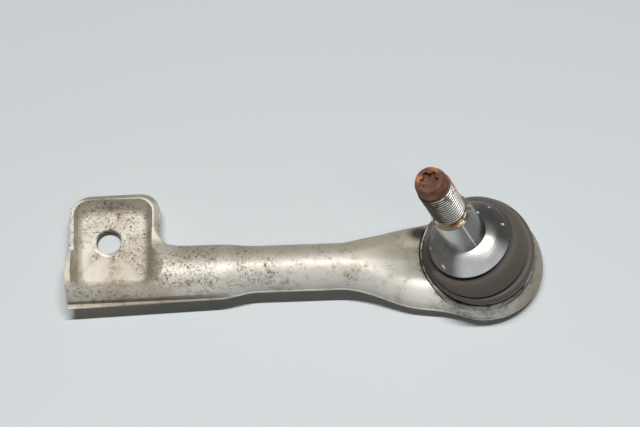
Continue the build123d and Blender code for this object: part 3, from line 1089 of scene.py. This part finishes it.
@dataclass(frozen=True)
class MouldedRubber:
    """Matte black-brown rubber of the boot, dusty on its upper folds."""

    rubber: Colour = (0.075, 0.063, 0.050)
    dust: Colour = (0.118, 0.104, 0.086)
    shadow_line: Colour = (0.012, 0.010, 0.008)
    clouds: Noise = Noise(8.0, 4.0, 0.6)
    dust_from: Point = (0.25, -0.2, 0.95)
    dust_levels: Span = (0.45, 1.0)
    dust_share: float = 0.55
    shadow_radii: Span = (18.4, 17.4)
    shadow_share: float = 0.85
    pores: Noise = Noise(0.35, 3.0, 0.6)
    pore_relief: Span = (0.12, 0.05)
    wrinkles: Noise = Noise(2.4, 4.0)
    wrinkle_stretch: Point = (1.0, 1.0, 2.2)
    wrinkle_relief: Span = (0.16, 0.35)
    dust_base: float = 0.35
    dust_mottle: float = 0.65
    rough: float = 0.43
    rough_by_dust: float = 0.20
    rough_by_pores: float = 0.08
    refraction: float = 1.5

    def material(self) -> bpy.types.Material:
        """Mix the rubber.

        Returns:
            The material.
        """
        mix = Recipe("moulded_rubber")
        pores = mix.noise(self.pores)
        mottle = self.dust_base + self.dust_mottle * mix.noise(self.clouds)
        dusty = mix.facing(self.dust_from).rise(*self.dust_levels) * mottle
        colour = mix.blend(dusty * self.dust_share, self.rubber, self.dust)
        shadow = mix.radial(LEAN.ball, LEAN.axis()).rise(*self.shadow_radii)
        colour = mix.blend(shadow * self.shadow_share, colour, self.shadow_line)
        rough = self.rough + self.rough_by_dust * dusty + self.rough_by_pores * pores
        normal = mix.bump(pores, self.pore_relief)
        normal = mix.bump(mix.noise(self.wrinkles, self.wrinkle_stretch), self.wrinkle_relief, normal)
        return mix.serve(colour, 0.0, rough, normal, IOR=self.refraction)


@dataclass(frozen=True)
class SeatPlastic:
    """Off-white moulded plastic of the ball seat."""

    plastic: Colour = (0.80, 0.78, 0.71)
    yellowed: Colour = (0.62, 0.56, 0.42)
    clouds: Noise = Noise(5.0)
    yellow_cut: Span = (0.4, 0.8)
    yellow_share: float = 0.5
    skin: Noise = Noise(0.6, 2.0)
    skin_relief: Span = (0.05, 0.05)
    rough: float = 0.35
    rough_by_clouds: float = 0.15

    def material(self) -> bpy.types.Material:
        """Mix the plastic.

        Returns:
            The material.
        """
        mix = Recipe("seat_plastic")
        clouds = mix.noise(self.clouds)
        colour = mix.blend(clouds.rise(*self.yellow_cut) * self.yellow_share, self.plastic, self.yellowed)
        normal = mix.bump(mix.noise(self.skin), self.skin_relief)
        return mix.serve(colour, 0.0, self.rough + self.rough_by_clouds * clouds, normal)


@dataclass(frozen=True)
class TableTop:
    """Pale blue-grey table, a little brighter towards the camera, where the fall of light is painted into its
    colour.
    """

    near_tint: Colour = (0.740, 0.790, 0.830)
    far_tint: Colour = (0.610, 0.660, 0.690)
    drift: Span = (180.0, -160.0)
    clouds: Noise = Noise(180.0, 2.0)
    skin: Noise = Noise(2.0)
    skin_relief: Span = (0.02, 0.05)
    cloudiness: float = 0.12
    rough: float = 0.75
    rough_by_clouds: float = 0.1

    def material(self) -> bpy.types.Material:
        """Mix the table.

        Returns:
            The material.
        """
        mix = Recipe("table_top")
        clouds = mix.noise(self.clouds)
        bright = (mix.axis(Axis.Y).rise(*self.drift) + self.cloudiness * clouds).smaller(1.0)
        colour = mix.blend(bright, self.far_tint, self.near_tint)
        normal = mix.bump(mix.noise(self.skin), self.skin_relief)
        return mix.serve(colour, 0.0, self.rough + self.rough_by_clouds * clouds, normal)


def placed(name: str, data: bpy.types.ID) -> bpy.types.Object:
    """Make an object of its data and link it, at the origin."""
    made = bpy.data.objects.new(name, data)
    bpy.context.scene.collection.objects.link(made)
    return made


def mesh_object(name: str, points: Sequence[Point], faces: Sequence[Sequence[int]]) -> bpy.types.Object:
    """Make an object from points in millimetres.

    Args:
        name: name of the object.
        points: its points.
        faces: its faces as index lists.

    Returns:
        The linked object, at the origin.
    """
    data = bpy.data.meshes.new(name)
    data.from_pydata([tuple(value * MM for value in point) for point in points], [], faces)
    data.update()
    return placed(name, data)


def lattice(name: str, rings: Sequence[Sequence[Point]], looped: bool = False) -> bpy.types.Object:
    """Skin closed rings of equal count in order.

    Args:
        name: name of the object.
        rings: rings of points, counter-clockwise seen from the last one.
        looped: join the last ring to the first; otherwise both ends get a fan.

    Returns:
        The object.
    """
    count = len(rings[0])
    points = [point for ring in rings for point in ring]
    faces: list[tuple[int, ...]] = []
    last = len(rings) if looped else len(rings) - 1
    for row in range(last):
        low, high = row * count, (row + 1) % len(rings) * count
        for index in range(count):
            turn = (index + 1) % count
            faces.append((low + index, low + turn, high + turn, high + index))
    if not looped:
        for row, flip in ((0, True), (len(rings) - 1, False)):
            centre = sum((Vector(point) for point in rings[row]), Vector()) / count
            points.append(tuple(centre))
            hub = len(points) - 1
            for index in range(count):
                pair = (row * count + index, row * count + (index + 1) % count)
                faces.append((pair[1], pair[0], hub) if flip else (pair[0], pair[1], hub))
    return mesh_object(name, points, faces)


def rounded(corners: Sequence[Span], cut: float, steps: int = 4) -> list[Span]:
    """Ease the corners of an open profile.

    Args:
        corners: points of the profile.
        cut: how far from each corner the easing starts.
        steps: points per corner.

    Returns:
        The profile with rounded corners.
    """
    eased = [corners[0]]
    for before, corner, after in zip(corners, corners[1:], corners[2:]):
        here = Vector(corner)
        back, ahead = Vector(before) - here, Vector(after) - here
        start = here + back.normalized() * min(cut, back.length * EASED_SHARE)
        end = here + ahead.normalized() * min(cut, ahead.length * EASED_SHARE)
        for step in range(steps + 1):
            share = step / steps
            eased.append(tuple(start * (1 - share) ** 2 + here * 2 * share * (1 - share) + end * share**2))
    eased.append(corners[-1])
    return eased


def through(stations: Sequence[Sequence[float]], steps: int) -> list[list[float]]:
    """Catmull-Rom curve through stations of any number of values.

    Args:
        stations: values to pass through.
        steps: spans between two stations.

    Returns:
        The dense list, ends included.
    """
    curve: list[list[float]] = []
    padded = [stations[0], *stations, stations[-1]]
    for first, low, high, last in zip(padded, padded[1:], padded[2:], padded[3:]):
        for step in range(steps):
            t = step / steps
            curve.append([
                0.5 * (2 * b + (c - a) * t + (2 * a - 5 * b + 4 * c - d) * t * t + (3 * b - a - 3 * c + d) * t**3)
                for a, b, c, d in zip(first, low, high, last)
            ])
    curve.append(list(stations[-1]))
    return curve


def smooth(piece: bpy.types.Object, crease: float) -> bpy.types.Object:
    """Shade smooth with sharp edges above an angle.

    Args:
        piece: the object.
        crease: angle in degrees.

    Returns:
        The same object.
    """
    piece.data.shade_smooth()
    piece.data.set_sharp_from_angle(angle=math.radians(crease))
    return piece


def outward(piece: bpy.types.Object) -> bpy.types.Object:
    """Merge doubles and turn the faces of a closed mesh outwards.

    Args:
        piece: the object.

    Returns:
        The same object.
    """
    work = bmesh.new()
    work.from_mesh(piece.data)
    bmesh.ops.remove_doubles(work, verts=work.verts, dist=WELD)
    bmesh.ops.recalc_face_normals(work, faces=work.faces)
    work.to_mesh(piece.data)
    work.free()
    return piece


def coated(piece: bpy.types.Object, coat: bpy.types.Material) -> bpy.types.Object:
    """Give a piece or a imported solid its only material."""
    piece.data.materials.clear()
    piece.data.materials.append(coat)
    return piece


def dressed(piece: bpy.types.Object, coat: bpy.types.Material) -> bpy.types.Object:
    """Coat a piece."""
    coated(piece, coat)
    return piece


@dataclass
class Skin:
    """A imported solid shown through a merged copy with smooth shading."""

    node: str
    name: str
    body: Body
    slot: Slot
    crease: float = 28.0

    def build(self, frame: dict, coat: bpy.types.Material) -> bpy.types.Object:
        """Copy, merge, smooth and dress the solid.

        Args:
            frame: the loaded frame.
            coat: its material.

        Returns:
            The finished piece.
        """
        source = coated(frame["nodes"][self.node], coat)
        piece = placed(self.name, source.data.copy())
        work = bmesh.new()
        work.from_mesh(piece.data)
        bmesh.ops.remove_doubles(work, verts=work.verts, dist=SOLID_WELD)
        bmesh.ops.dissolve_degenerate(work, edges=work.edges, dist=WELD)
        work.to_mesh(piece.data)
        work.free()
        if piece.data.has_custom_normals:
            with bpy.context.temp_override(object=piece, active_object=piece, selected_objects=[piece]):
                bpy.ops.mesh.customdata_custom_splitnormals_clear()
        smooth(piece, self.crease)
        dressed(piece, coat)
        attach(piece, self.body.value)
        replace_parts(piece, self.node)
        return piece


@dataclass
class Arm:
    """Pressed arm with its lug, and the plain raised ring on the rod."""

    sheet_crease: float = 24.0
    ring_at: Span = (44.1, -18.9)
    crest_axis_z: float = 9.0
    crest_axis_y: float = -18.4
    crest_radius: float = 11.2
    ring_radius: float = 2.3
    ring_wire: float = 0.45
    ring_flatness: float = 0.75
    ring_crease: float = 60.0
    count: int = 48
    around: int = 10

    def mark(self, coat: bpy.types.Material) -> bpy.types.Object:
        """Raised ring that follows the round back of the rod.

        Args:
            coat: its material.

        Returns:
            The finished ring.
        """
        rings = []
        for index in range(self.count):
            turn = FULL_TURN * index / self.count
            ring = []
            for step in range(self.around):
                roll = FULL_TURN * step / self.around
                reach = self.ring_radius + self.ring_wire * math.cos(roll)
                x = self.ring_at[0] + reach * math.cos(turn)
                y = self.ring_at[1] + reach * math.sin(turn)
                lift = self.ring_wire * self.ring_flatness * math.sin(roll)
                flat = y - self.crest_axis_y
                ring.append((x, y, self.crest_axis_z + math.sqrt(self.crest_radius**2 - flat**2) + lift))
            rings.append(ring)
        piece = smooth(outward(lattice("raised_ring", rings, looped=True)), self.ring_crease)
        dressed(piece, coat)
        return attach(piece, Body.LINK.value)

    def build(self, frame: dict) -> list[bpy.types.Object]:
        """Dress the sheet and set the mark.

        Args:
            frame: the loaded frame.

        Returns:
            The pieces.
        """
        coat = SatinSheet().material()
        sheet = Skin("link_arm", "arm_sheet", Body.LINK, Slot.ARM, self.sheet_crease).build(frame, coat)
        return [sheet, self.mark(coat)]


@dataclass
class Socket:
    """Housing, seat, cap and clamp wire of the ball joint."""

    flange: TurnedSteel = TurnedSteel(
        "flange_steel", steel=(0.36, 0.345, 0.31), shade=(0.16, 0.15, 0.125), rough=0.34, upright=True, grease=0.8
    )
    cover: TurnedSteel = TurnedSteel(
        "cover_steel", steel=(0.38, 0.37, 0.35), shade=(0.25, 0.24, 0.22), rough=0.38, upright=True, grease=0.3
    )
    wire: TurnedSteel = TurnedSteel(
        "dark_wire", steel=(0.09, 0.088, 0.083), shade=(0.05, 0.048, 0.045), rough=0.42, upright=True, grease=0.4
    )
    spring: TurnedSteel = TurnedSteel(
        "spring_steel", steel=(0.17, 0.17, 0.175), shade=(0.11, 0.11, 0.11), rough=0.32, grease=0.1
    )

    def build(self, frame: dict) -> list[bpy.types.Object]:
        """Dress the solids of the socket.

        Args:
            frame: the loaded frame.

        Returns:
            The pieces.
        """
        plan = [
            (Skin("socket_housing", "housing_cup", Body.LINK, Slot.HOUSING), self.flange),
            (Skin("closing_cap", "bottom_cover", Body.LINK, Slot.CAP), self.cover),
            (Skin("ball_seat", "seat_shell", Body.LINK, Slot.SEAT), SeatPlastic()),
            (Skin("boot_base_ring", "clamp_wire", Body.LINK, Slot.WIRE), self.wire),
            (Skin("upper_spring_ring", "lip_spring", Body.BOOT_LIP, Slot.SPRING), self.spring),
        ]
        return [skin.build(frame, finish.material()) for skin, finish in plan]


@dataclass
class Stud:
    """Ball stud with its recess and thread, and the collar on its shoulder.

    Profiles are pairs of a radius and a height along the stud, from the centre of the ball, and the recess is
    pairs of a scale and a height. Foot and crest of the thread are shares of its pitch. Its runout is a share of
    its length and the size that it shrinks to.
    """

    count: int = 120
    ball_radius: float = 11.5
    ball_rows: int = 25
    shank: tuple[Span, ...] = (
        (7.0, 9.124),
        (7.0, 13.8),
        (7.5, 14.3),
        (9.2, 14.3),
        (9.2, 19.6),
        (9.1, 19.72),
        (8.2, 38.0),
        (7.0, 39.0),
        (6.3, 39.4),
        (6.3, 40.5),
        (6.05, 41.1),
        (6.05, 61.1),
        (6.4, 61.7),
        (6.4, 64.3),
        (5.45, 66.7),
        (3.95, 66.7),
        (3.75, 66.45),
    )
    shank_cut: float = 0.22
    shank_crease: float = 32.0
    dome: tuple[Span, ...] = (
        (9.05, 19.75),
        (9.6, 19.6),
        (10.8, 19.2),
        (12.0, 18.65),
        (13.2, 17.95),
        (14.3, 17.1),
        (15.3, 16.1),
        (16.2, 14.95),
        (17.0, 13.55),
        (17.2, 13.1),
        (17.0, 12.5),
        (16.4, 12.35),
    )
    dome_cut: float = 0.25
    dome_crease: float = 50.0
    hollow: tuple[Span, ...] = ((14.8, 13.1), (11.6, 14.35), (9.15, 14.35))
    lobes: int = 6
    recess_radius: float = 3.0
    lobe_offset: float = 3.15
    lobe_radius: float = 0.86
    recess_wear: float = 0.06
    wear_waves: int = 5
    wear_phase: float = 0.7
    recess: tuple[Span, ...] = ((1.05, 66.45), (1.0, 66.2), (1.0, 65.1), (0.85, 64.6))
    recess_point: Span = (0.5, 63.8)
    thread_start: float = 41.3
    thread_end: float = 61.2
    thread_pitch: float = 1.5
    thread_root: float = 6.0
    thread_depth: float = 0.98
    thread_foot: float = 0.98
    thread_crest: float = 0.16
    thread_steps: int = 72
    thread_runout: Span = (0.045, 0.02)
    thread_crease: float = 30.0
    profile_turn: float = math.pi / 2

    def lobed(self, scale: float, height: float) -> list[Point]:
        """Six-lobe outline across the stud.

        Args:
            scale: size of the outline.
            height: height along the stud.

        Returns:
            Its points.
        """
        plain = LEAN.circle(height, 1.0, self.count)
        centre = Vector(LEAN.spot(height))
        half = math.pi / self.lobes
        points = []
        for index, point in enumerate(plain):
            turn = FULL_TURN * index / self.count
            angle = (turn + half) % (2 * half) - half
            radius = self.recess_radius
            gap = self.lobe_radius**2 - (self.lobe_offset * math.sin(angle)) ** 2
            if gap > 0:
                radius = max(radius, self.lobe_offset * math.cos(angle) + math.sqrt(gap))
            worn = 1 + self.recess_wear * math.sin(self.wear_waves * turn + self.wear_phase)
            points.append(tuple(centre + (Vector(point) - centre) * radius * scale * worn))
        return points

    def bar(self, coat: bpy.types.Material) -> bpy.types.Object:
        """Turn the ball, neck, taper and tip in one, with the recess in its end.

        Args:
            coat: its material.

        Returns:
            The finished bar.
        """
        bottom = -math.pi / 2
        reach = math.asin(self.shank[0][1] / self.ball_radius) - bottom
        angles = [bottom + reach * row / self.ball_rows for row in range(1, self.ball_rows)]
        profile = [(self.ball_radius * math.cos(angle), self.ball_radius * math.sin(angle)) for angle in angles]
        profile += rounded(self.shank, self.shank_cut)
        rings = [LEAN.circle(height, radius, self.count) for radius, height in profile]
        rings += [self.lobed(scale, height) for scale, height in self.recess]
        point_radius, point_height = self.recess_point
        rings.append(LEAN.circle(point_height, point_radius, self.count))
        piece = smooth(lattice("stud_bar", rings), self.shank_crease)
        dressed(piece, coat)
        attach(piece, Body.STUD.value)
        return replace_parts(piece, "ball_stud")

    def skirt(self, coat: bpy.types.Material) -> bpy.types.Object:
        """Turn the domed collar that hangs from the shoulder of the stud.

        Args:
            coat: its material.

        Returns:
            The finished collar.
        """
        profile = rounded(self.dome, self.dome_cut) + list(self.hollow)
        rings = [LEAN.circle(height, radius, self.count) for radius, height in profile]
        piece = smooth(outward(lattice("collar_skirt", rings, looped=True)), self.dome_crease)
        dressed(piece, coat)
        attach(piece, Body.STUD.value)
        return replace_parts(piece, "stud_collar")

    def thread_tree(self, coat: bpy.types.Material) -> bpy.types.NodeTree:
        """Node tree that sweeps a thread's ridge along a helix.

        Args:
            coat: material of the ridge.

        Returns:
            The tree, whose inputs are the sizes of the ridge.
        """
        tree = bpy.data.node_groups.new("helical_ridge", "GeometryNodeTree")
        for name in ("Turns", "Radius", "Length", "Depth", "Foot", "Crest"):
            tree.interface.new_socket(name=name, in_out="INPUT", socket_type="NodeSocketFloat")
        tree.interface.new_socket(name="Geometry", in_out="OUTPUT", socket_type="NodeSocketGeometry")
        bench = Bench(tree)
        given = bench.node("NodeGroupInput", {}, {}).outputs
        spiral = bench.out("GeometryNodeCurveSpiral", {}, {
            "Resolution": self.thread_steps, "Rotations": given["Turns"], "Start Radius": given["Radius"],
            "End Radius": given["Radius"], "Height": given["Length"]})
        upright = bench.out("GeometryNodeSetCurveNormal", {"mode": "Z_UP"}, {"Curve": spiral})
        way = bench.out("GeometryNodeSplineParameter", {}, {}, "Factor")
        runout, thin = self.thread_runout
        grow = bench.out("ShaderNodeMapRange", {}, {0: way, 1: 0.0, 2: runout, 3: thin, 4: 1.0})
        fade = bench.out("ShaderNodeMapRange", {}, {0: way, 1: 1.0 - runout, 2: 1.0, 3: 1.0, 4: thin})
        size = bench.out("ShaderNodeMath", {"operation": "MULTIPLY"}, {0: grow, 1: fade})
        profile = bench.out("GeometryNodeCurvePrimitiveQuadrilateral", {"mode": "TRAPEZOID"}, {
            "Height": given["Depth"], "Bottom Width": given["Foot"], "Top Width": given["Crest"], "Offset": 0.0})
        turn = (0.0, 0.0, self.profile_turn)
        turned = bench.out("GeometryNodeTransform", {}, {"Geometry": profile, "Rotation": turn})
        swept = bench.out("GeometryNodeCurveToMesh", {}, {
            "Curve": upright, "Profile Curve": turned, "Scale": size, "Fill Caps": True})
        whole = bench.out("GeometryNodeRealizeInstances", {}, {"Geometry": swept})
        painted = bench.out("GeometryNodeSetMaterial", {}, {"Geometry": whole, "Material": coat})
        bench.node("NodeGroupOutput", {}, {"Geometry": painted})
        return tree

    def thread(self, coat: bpy.types.Material) -> bpy.types.Object:
        """Wind the ridge and set it on the leaning shank.

        Args:
            coat: its material.

        Returns:
            The finished thread.
        """
        piece = mesh_object("stud_thread", [(0, 0, 0)], [])
        length = self.thread_end - self.thread_start
        tree = self.thread_tree(coat)
        winding = piece.modifiers.new("winding", "NODES")
        winding.node_group = tree
        sizes = {
            "Turns": length / self.thread_pitch,
            "Radius": (self.thread_root + self.thread_depth / 2) * MM,
            "Length": length * MM,
            "Depth": self.thread_depth * MM,
            "Foot": self.thread_pitch * self.thread_foot * MM,
            "Crest": self.thread_pitch * self.thread_crest * MM,
        }
        for item in tree.interface.items_tree:
            if item.in_out == "INPUT":
                winding[item.identifier] = float(sizes[item.name])
        piece.update_tag()
        ready = piece.evaluated_get(bpy.context.evaluated_depsgraph_get())
        plain = bpy.data.meshes.new_from_object(ready)
        piece.modifiers.remove(winding)
        piece.data = plain
        axis, across, side = LEAN.directions()
        stand = Matrix((across, side, axis)).transposed().to_4x4()
        stand.translation = Vector(LEAN.spot(self.thread_start)) * MM
        piece.data.transform(stand)
        smooth(outward(piece), self.thread_crease)
        dressed(piece, coat)
        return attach(piece, Body.STUD.value)

    def build(self, frame: dict) -> list[bpy.types.Object]:
        """Make the stud, its thread and its collar.

        Args:
            frame: the loaded frame.

        Returns:
            The pieces.
        """
        coat = RustyStud().material()
        polish = DarkPolish().material()
        coated(frame["nodes"]["ball_stud"], coat)
        coated(frame["nodes"]["stud_collar"], polish)
        return [self.bar(coat), self.thread(coat), self.skirt(polish)]


@dataclass
class Boot:
    """Rubber boot: its bead stays on the housing, and its two squeezed rolls are shaped to the stud's lean.

    The bead is pairs of a radius and a height above the origin. A ring of the skin is its share of the lean,
    height above the ball, radius, shift away from the lean and ovalness.
    """

    count: int = 160
    crease: float = 40.0
    bead: tuple[Span, ...] = (
        (19.7, 14.7),
        (22.4, 14.65),
        (22.8, 15.0),
        (22.75, 15.5),
        (22.0, 15.75),
        (21.5, 16.1),
        (22.0, 16.45),
        (22.3, 16.9),
        (22.0, 17.4),
        (21.2, 17.6),
    )
    bead_cut: float = 0.3
    bead_back: tuple[Span, ...] = ((19.45, 17.0), (19.45, 15.6))
    outside: tuple[tuple[float, ...], ...] = (
        (0.0, 0.35, 22.6, 0.4, 0.965),
        (0.0, 0.75, 23.7, 0.7, 0.945),
        (0.06, 1.9, 24.25, 0.75, 0.935),
        (0.14, 3.3, 24.0, 0.7, 0.94),
        (0.18, 4.3, 22.9, 0.4, 0.955),
        (0.205, 4.1, 21.2, -0.1, 0.96),
        (0.23, 3.6, 19.4, -0.5, 0.95),
        (0.25, 3.8, 19.4, -0.5, 0.95),
        (0.27, 4.5, 21.7, -0.4, 0.915),
        (0.30, 5.3, 22.75, -0.35, 0.905),
        (0.35, 6.3, 22.7, -0.4, 0.92),
        (0.46, 7.4, 22.0, -0.5, 0.96),
        (0.70, 9.2, 20.4, -0.4, 0.99),
        (0.88, 10.4, 18.6, -0.1, 1.0),
        (1.0, 10.9, 16.6, 0.0, 1.0),
        (1.0, 11.3, 13.5, 0.0, 1.0),
        (1.0, 11.6, 10.4, 0.0, 1.0),
        (1.0, 12.2, 9.85, 0.0, 1.0),
        (1.0, 13.4, 9.8, 0.0, 1.0),
    )
    inside: tuple[tuple[float, ...], ...] = (
        (1.0, 13.4, 7.15, 0.0, 1.0),
        (1.0, 10.3, 7.15, 0.0, 1.0),
        (1.0, 9.9, 9.0, 0.0, 1.0),
        (0.75, 8.6, 15.5, 0.6, 1.0),
        (0.35, 6.0, 18.2, 0.4, 1.0),
        (0.1, 3.6, 19.6, 0.0, 1.0),
        (0.0, 0.5, 20.6, 0.0, 1.0),
    )
    roll_steps: int = 5
    blend_start: float = 20.5
    blend_end: float = 28.5

    def build(self, frame: dict) -> list[bpy.types.Object]:
        """Mould the bead and the bellows.

        Args:
            frame: the loaded frame.

        Returns:
            The pieces.
        """
        coat = MouldedRubber().material()
        coated(frame["nodes"]["boot"], coat)
        loop = [*rounded(self.bead, self.bead_cut), *self.bead_back]
        rings = [LEAN.circle(height - LEAN.ball[2], radius, self.count, 0.0) for radius, height in loop]
        bead = smooth(outward(lattice("boot_bead", rings, looped=True)), self.crease)
        dressed(bead, coat)
        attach(bead, Body.LINK.value)
        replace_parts(bead, "boot")
        skin = through(self.outside, self.roll_steps) + [list(station) for station in self.inside]
        rings = [
            LEAN.circle(height, radius, self.count, share, shift, oval)
            for share, height, radius, shift, oval in skin
        ]
        bellows = smooth(outward(lattice("boot_bellows", rings, looped=True)), self.crease)
        dressed(bellows, coat)
        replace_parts(bellows, "boot")
        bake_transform(bellows)
        return [bead, bellows]


@dataclass(frozen=True)
class Lamp:
    """Flat lamp; its size is the length along the rod and the width, and its power is in watts."""

    name: str
    spot: Point
    size: Span
    power: float
    tint: Colour

    def hang(self, aim_at: Point) -> None:
        """Hang the lamp so that it looks at a point.

        Args:
            aim_at: the point, in millimetres.
        """
        data = bpy.data.lights.new(self.name, "AREA")
        data.shape = "RECTANGLE"
        data.size, data.size_y = (side * MM for side in self.size)
        data.energy = self.power
        data.color = self.tint
        holder = placed(self.name, data)
        holder.location = Vector(self.spot) * MM
        holder.rotation_euler = (Vector(aim_at) - Vector(self.spot)).to_track_quat("-Z", "Y").to_euler()


@dataclass
class Studio:
    """Table, lamps, world and the camera at the photograph's angle.

    The sensor and lens are millimetres as written on a camera, and the clip distances are metres.
    """

    eye: Point = (79.3, -274.3, 588.2)
    forward: Point = (0.0168, 0.4374, -0.8991)
    right: Point = (0.99926, -0.03839, 0.0)
    lens: float = 85.25
    sensor: float = 36.0
    clip: Span = (0.01, 50.0)
    table_half: float = 3000.0
    table_top: float = -0.03
    aim_at: Point = (85.0, -15.0, 10.0)
    long_lamp: Lamp = Lamp("long_lamp", (85.0, 150.0, 1500.0), (900.0, 60.0), 20.8, (1.0, 0.985, 0.96))
    front_lamp: Lamp = Lamp("front_lamp", (520.0, -750.0, 1300.0), (260.0, 200.0), 1.0, (1.0, 0.90, 0.76))
    fill: float = 0.023
    backdrop: Colour = (0.62, 0.655, 0.665)
    ceiling: Colour = (0.24, 0.25, 0.25)
    ceiling_from: Span = (0.1, 0.95)

    def table(self) -> None:
        """Lay the table under the part."""
        half = self.table_half
        corners = [(x, y, self.table_top) for x, y in ((-half, -half), (half, -half), (half, half), (-half, half))]
        top = mesh_object("table", corners, [(0, 1, 2, 3)])
        top.data.materials.append(TableTop().material())

    def world(self) -> None:
        """Pale room for the camera and for reflections, darker overhead, and a weak fill for the shadows."""
        world = bpy.data.worlds.new("room")
        bpy.context.scene.world = world
        world.use_nodes = True
        bench = Bench(world.node_tree)
        bench.tree.nodes.clear()
        path = bench.node("ShaderNodeLightPath", {}, {}).outputs
        seen = path["Is Camera Ray"]
        for ray in ("Is Glossy Ray", "Is Transmission Ray"):
            seen = bench.out("ShaderNodeMath", {"operation": "MAXIMUM"}, {0: seen, 1: path[ray]})
        level = bench.out("ShaderNodeMapRange", {}, {0: seen, 3: self.fill, 4: 1.0})
        direction = bench.out("ShaderNodeTexCoord", {}, {}, "Generated")
        height = bench.out("ShaderNodeSeparateXYZ", {}, {0: direction}, Axis.Z.value)
        low, high = self.ceiling_from
        rising = bench.out("ShaderNodeMapRange", {"interpolation_type": "SMOOTHSTEP"}, {0: height, 1: low, 2: high})
        colour = bench.blend(rising, self.backdrop, self.ceiling)
        glow = bench.out("ShaderNodeBackground", {}, {"Color": colour, "Strength": level})
        bench.node("ShaderNodeOutputWorld", {}, {0: glow})

    def camera(self) -> None:
        """Set the camera."""
        data = bpy.data.cameras.new("camera")
        data.sensor_width = self.sensor
        data.lens = self.lens
        data.clip_start, data.clip_end = self.clip
        holder = placed("camera", data)
        right = Vector(self.right).normalized()
        back = -Vector(self.forward).normalized()
        up = back.cross(right).normalized()
        stand = Matrix((right, up, back)).transposed().to_4x4()
        stand.translation = Vector(self.eye) * MM
        holder.matrix_world = stand
        bpy.context.scene.camera = holder

    def build(self) -> None:
        """Set up the table, light and camera."""
        self.table()
        self.long_lamp.hang(self.aim_at)
        self.front_lamp.hang(self.aim_at)
        self.world()
        self.camera()
        bpy.context.scene.view_settings.view_transform = "Standard"


def main() -> None:
    """Load the frame, build every sub-assembly and report its pieces."""
    logging.basicConfig(level=logging.INFO, format="%(message)s")
    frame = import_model()
    Studio().build()
    for maker in (Arm(), Socket(), Stud(), Boot()):
        for piece in maker.build(frame):
            LOG.info("%s: %s, %d faces", type(maker).__name__, piece.name, len(piece.data.polygons))


if __name__ == "__main__":
    main()
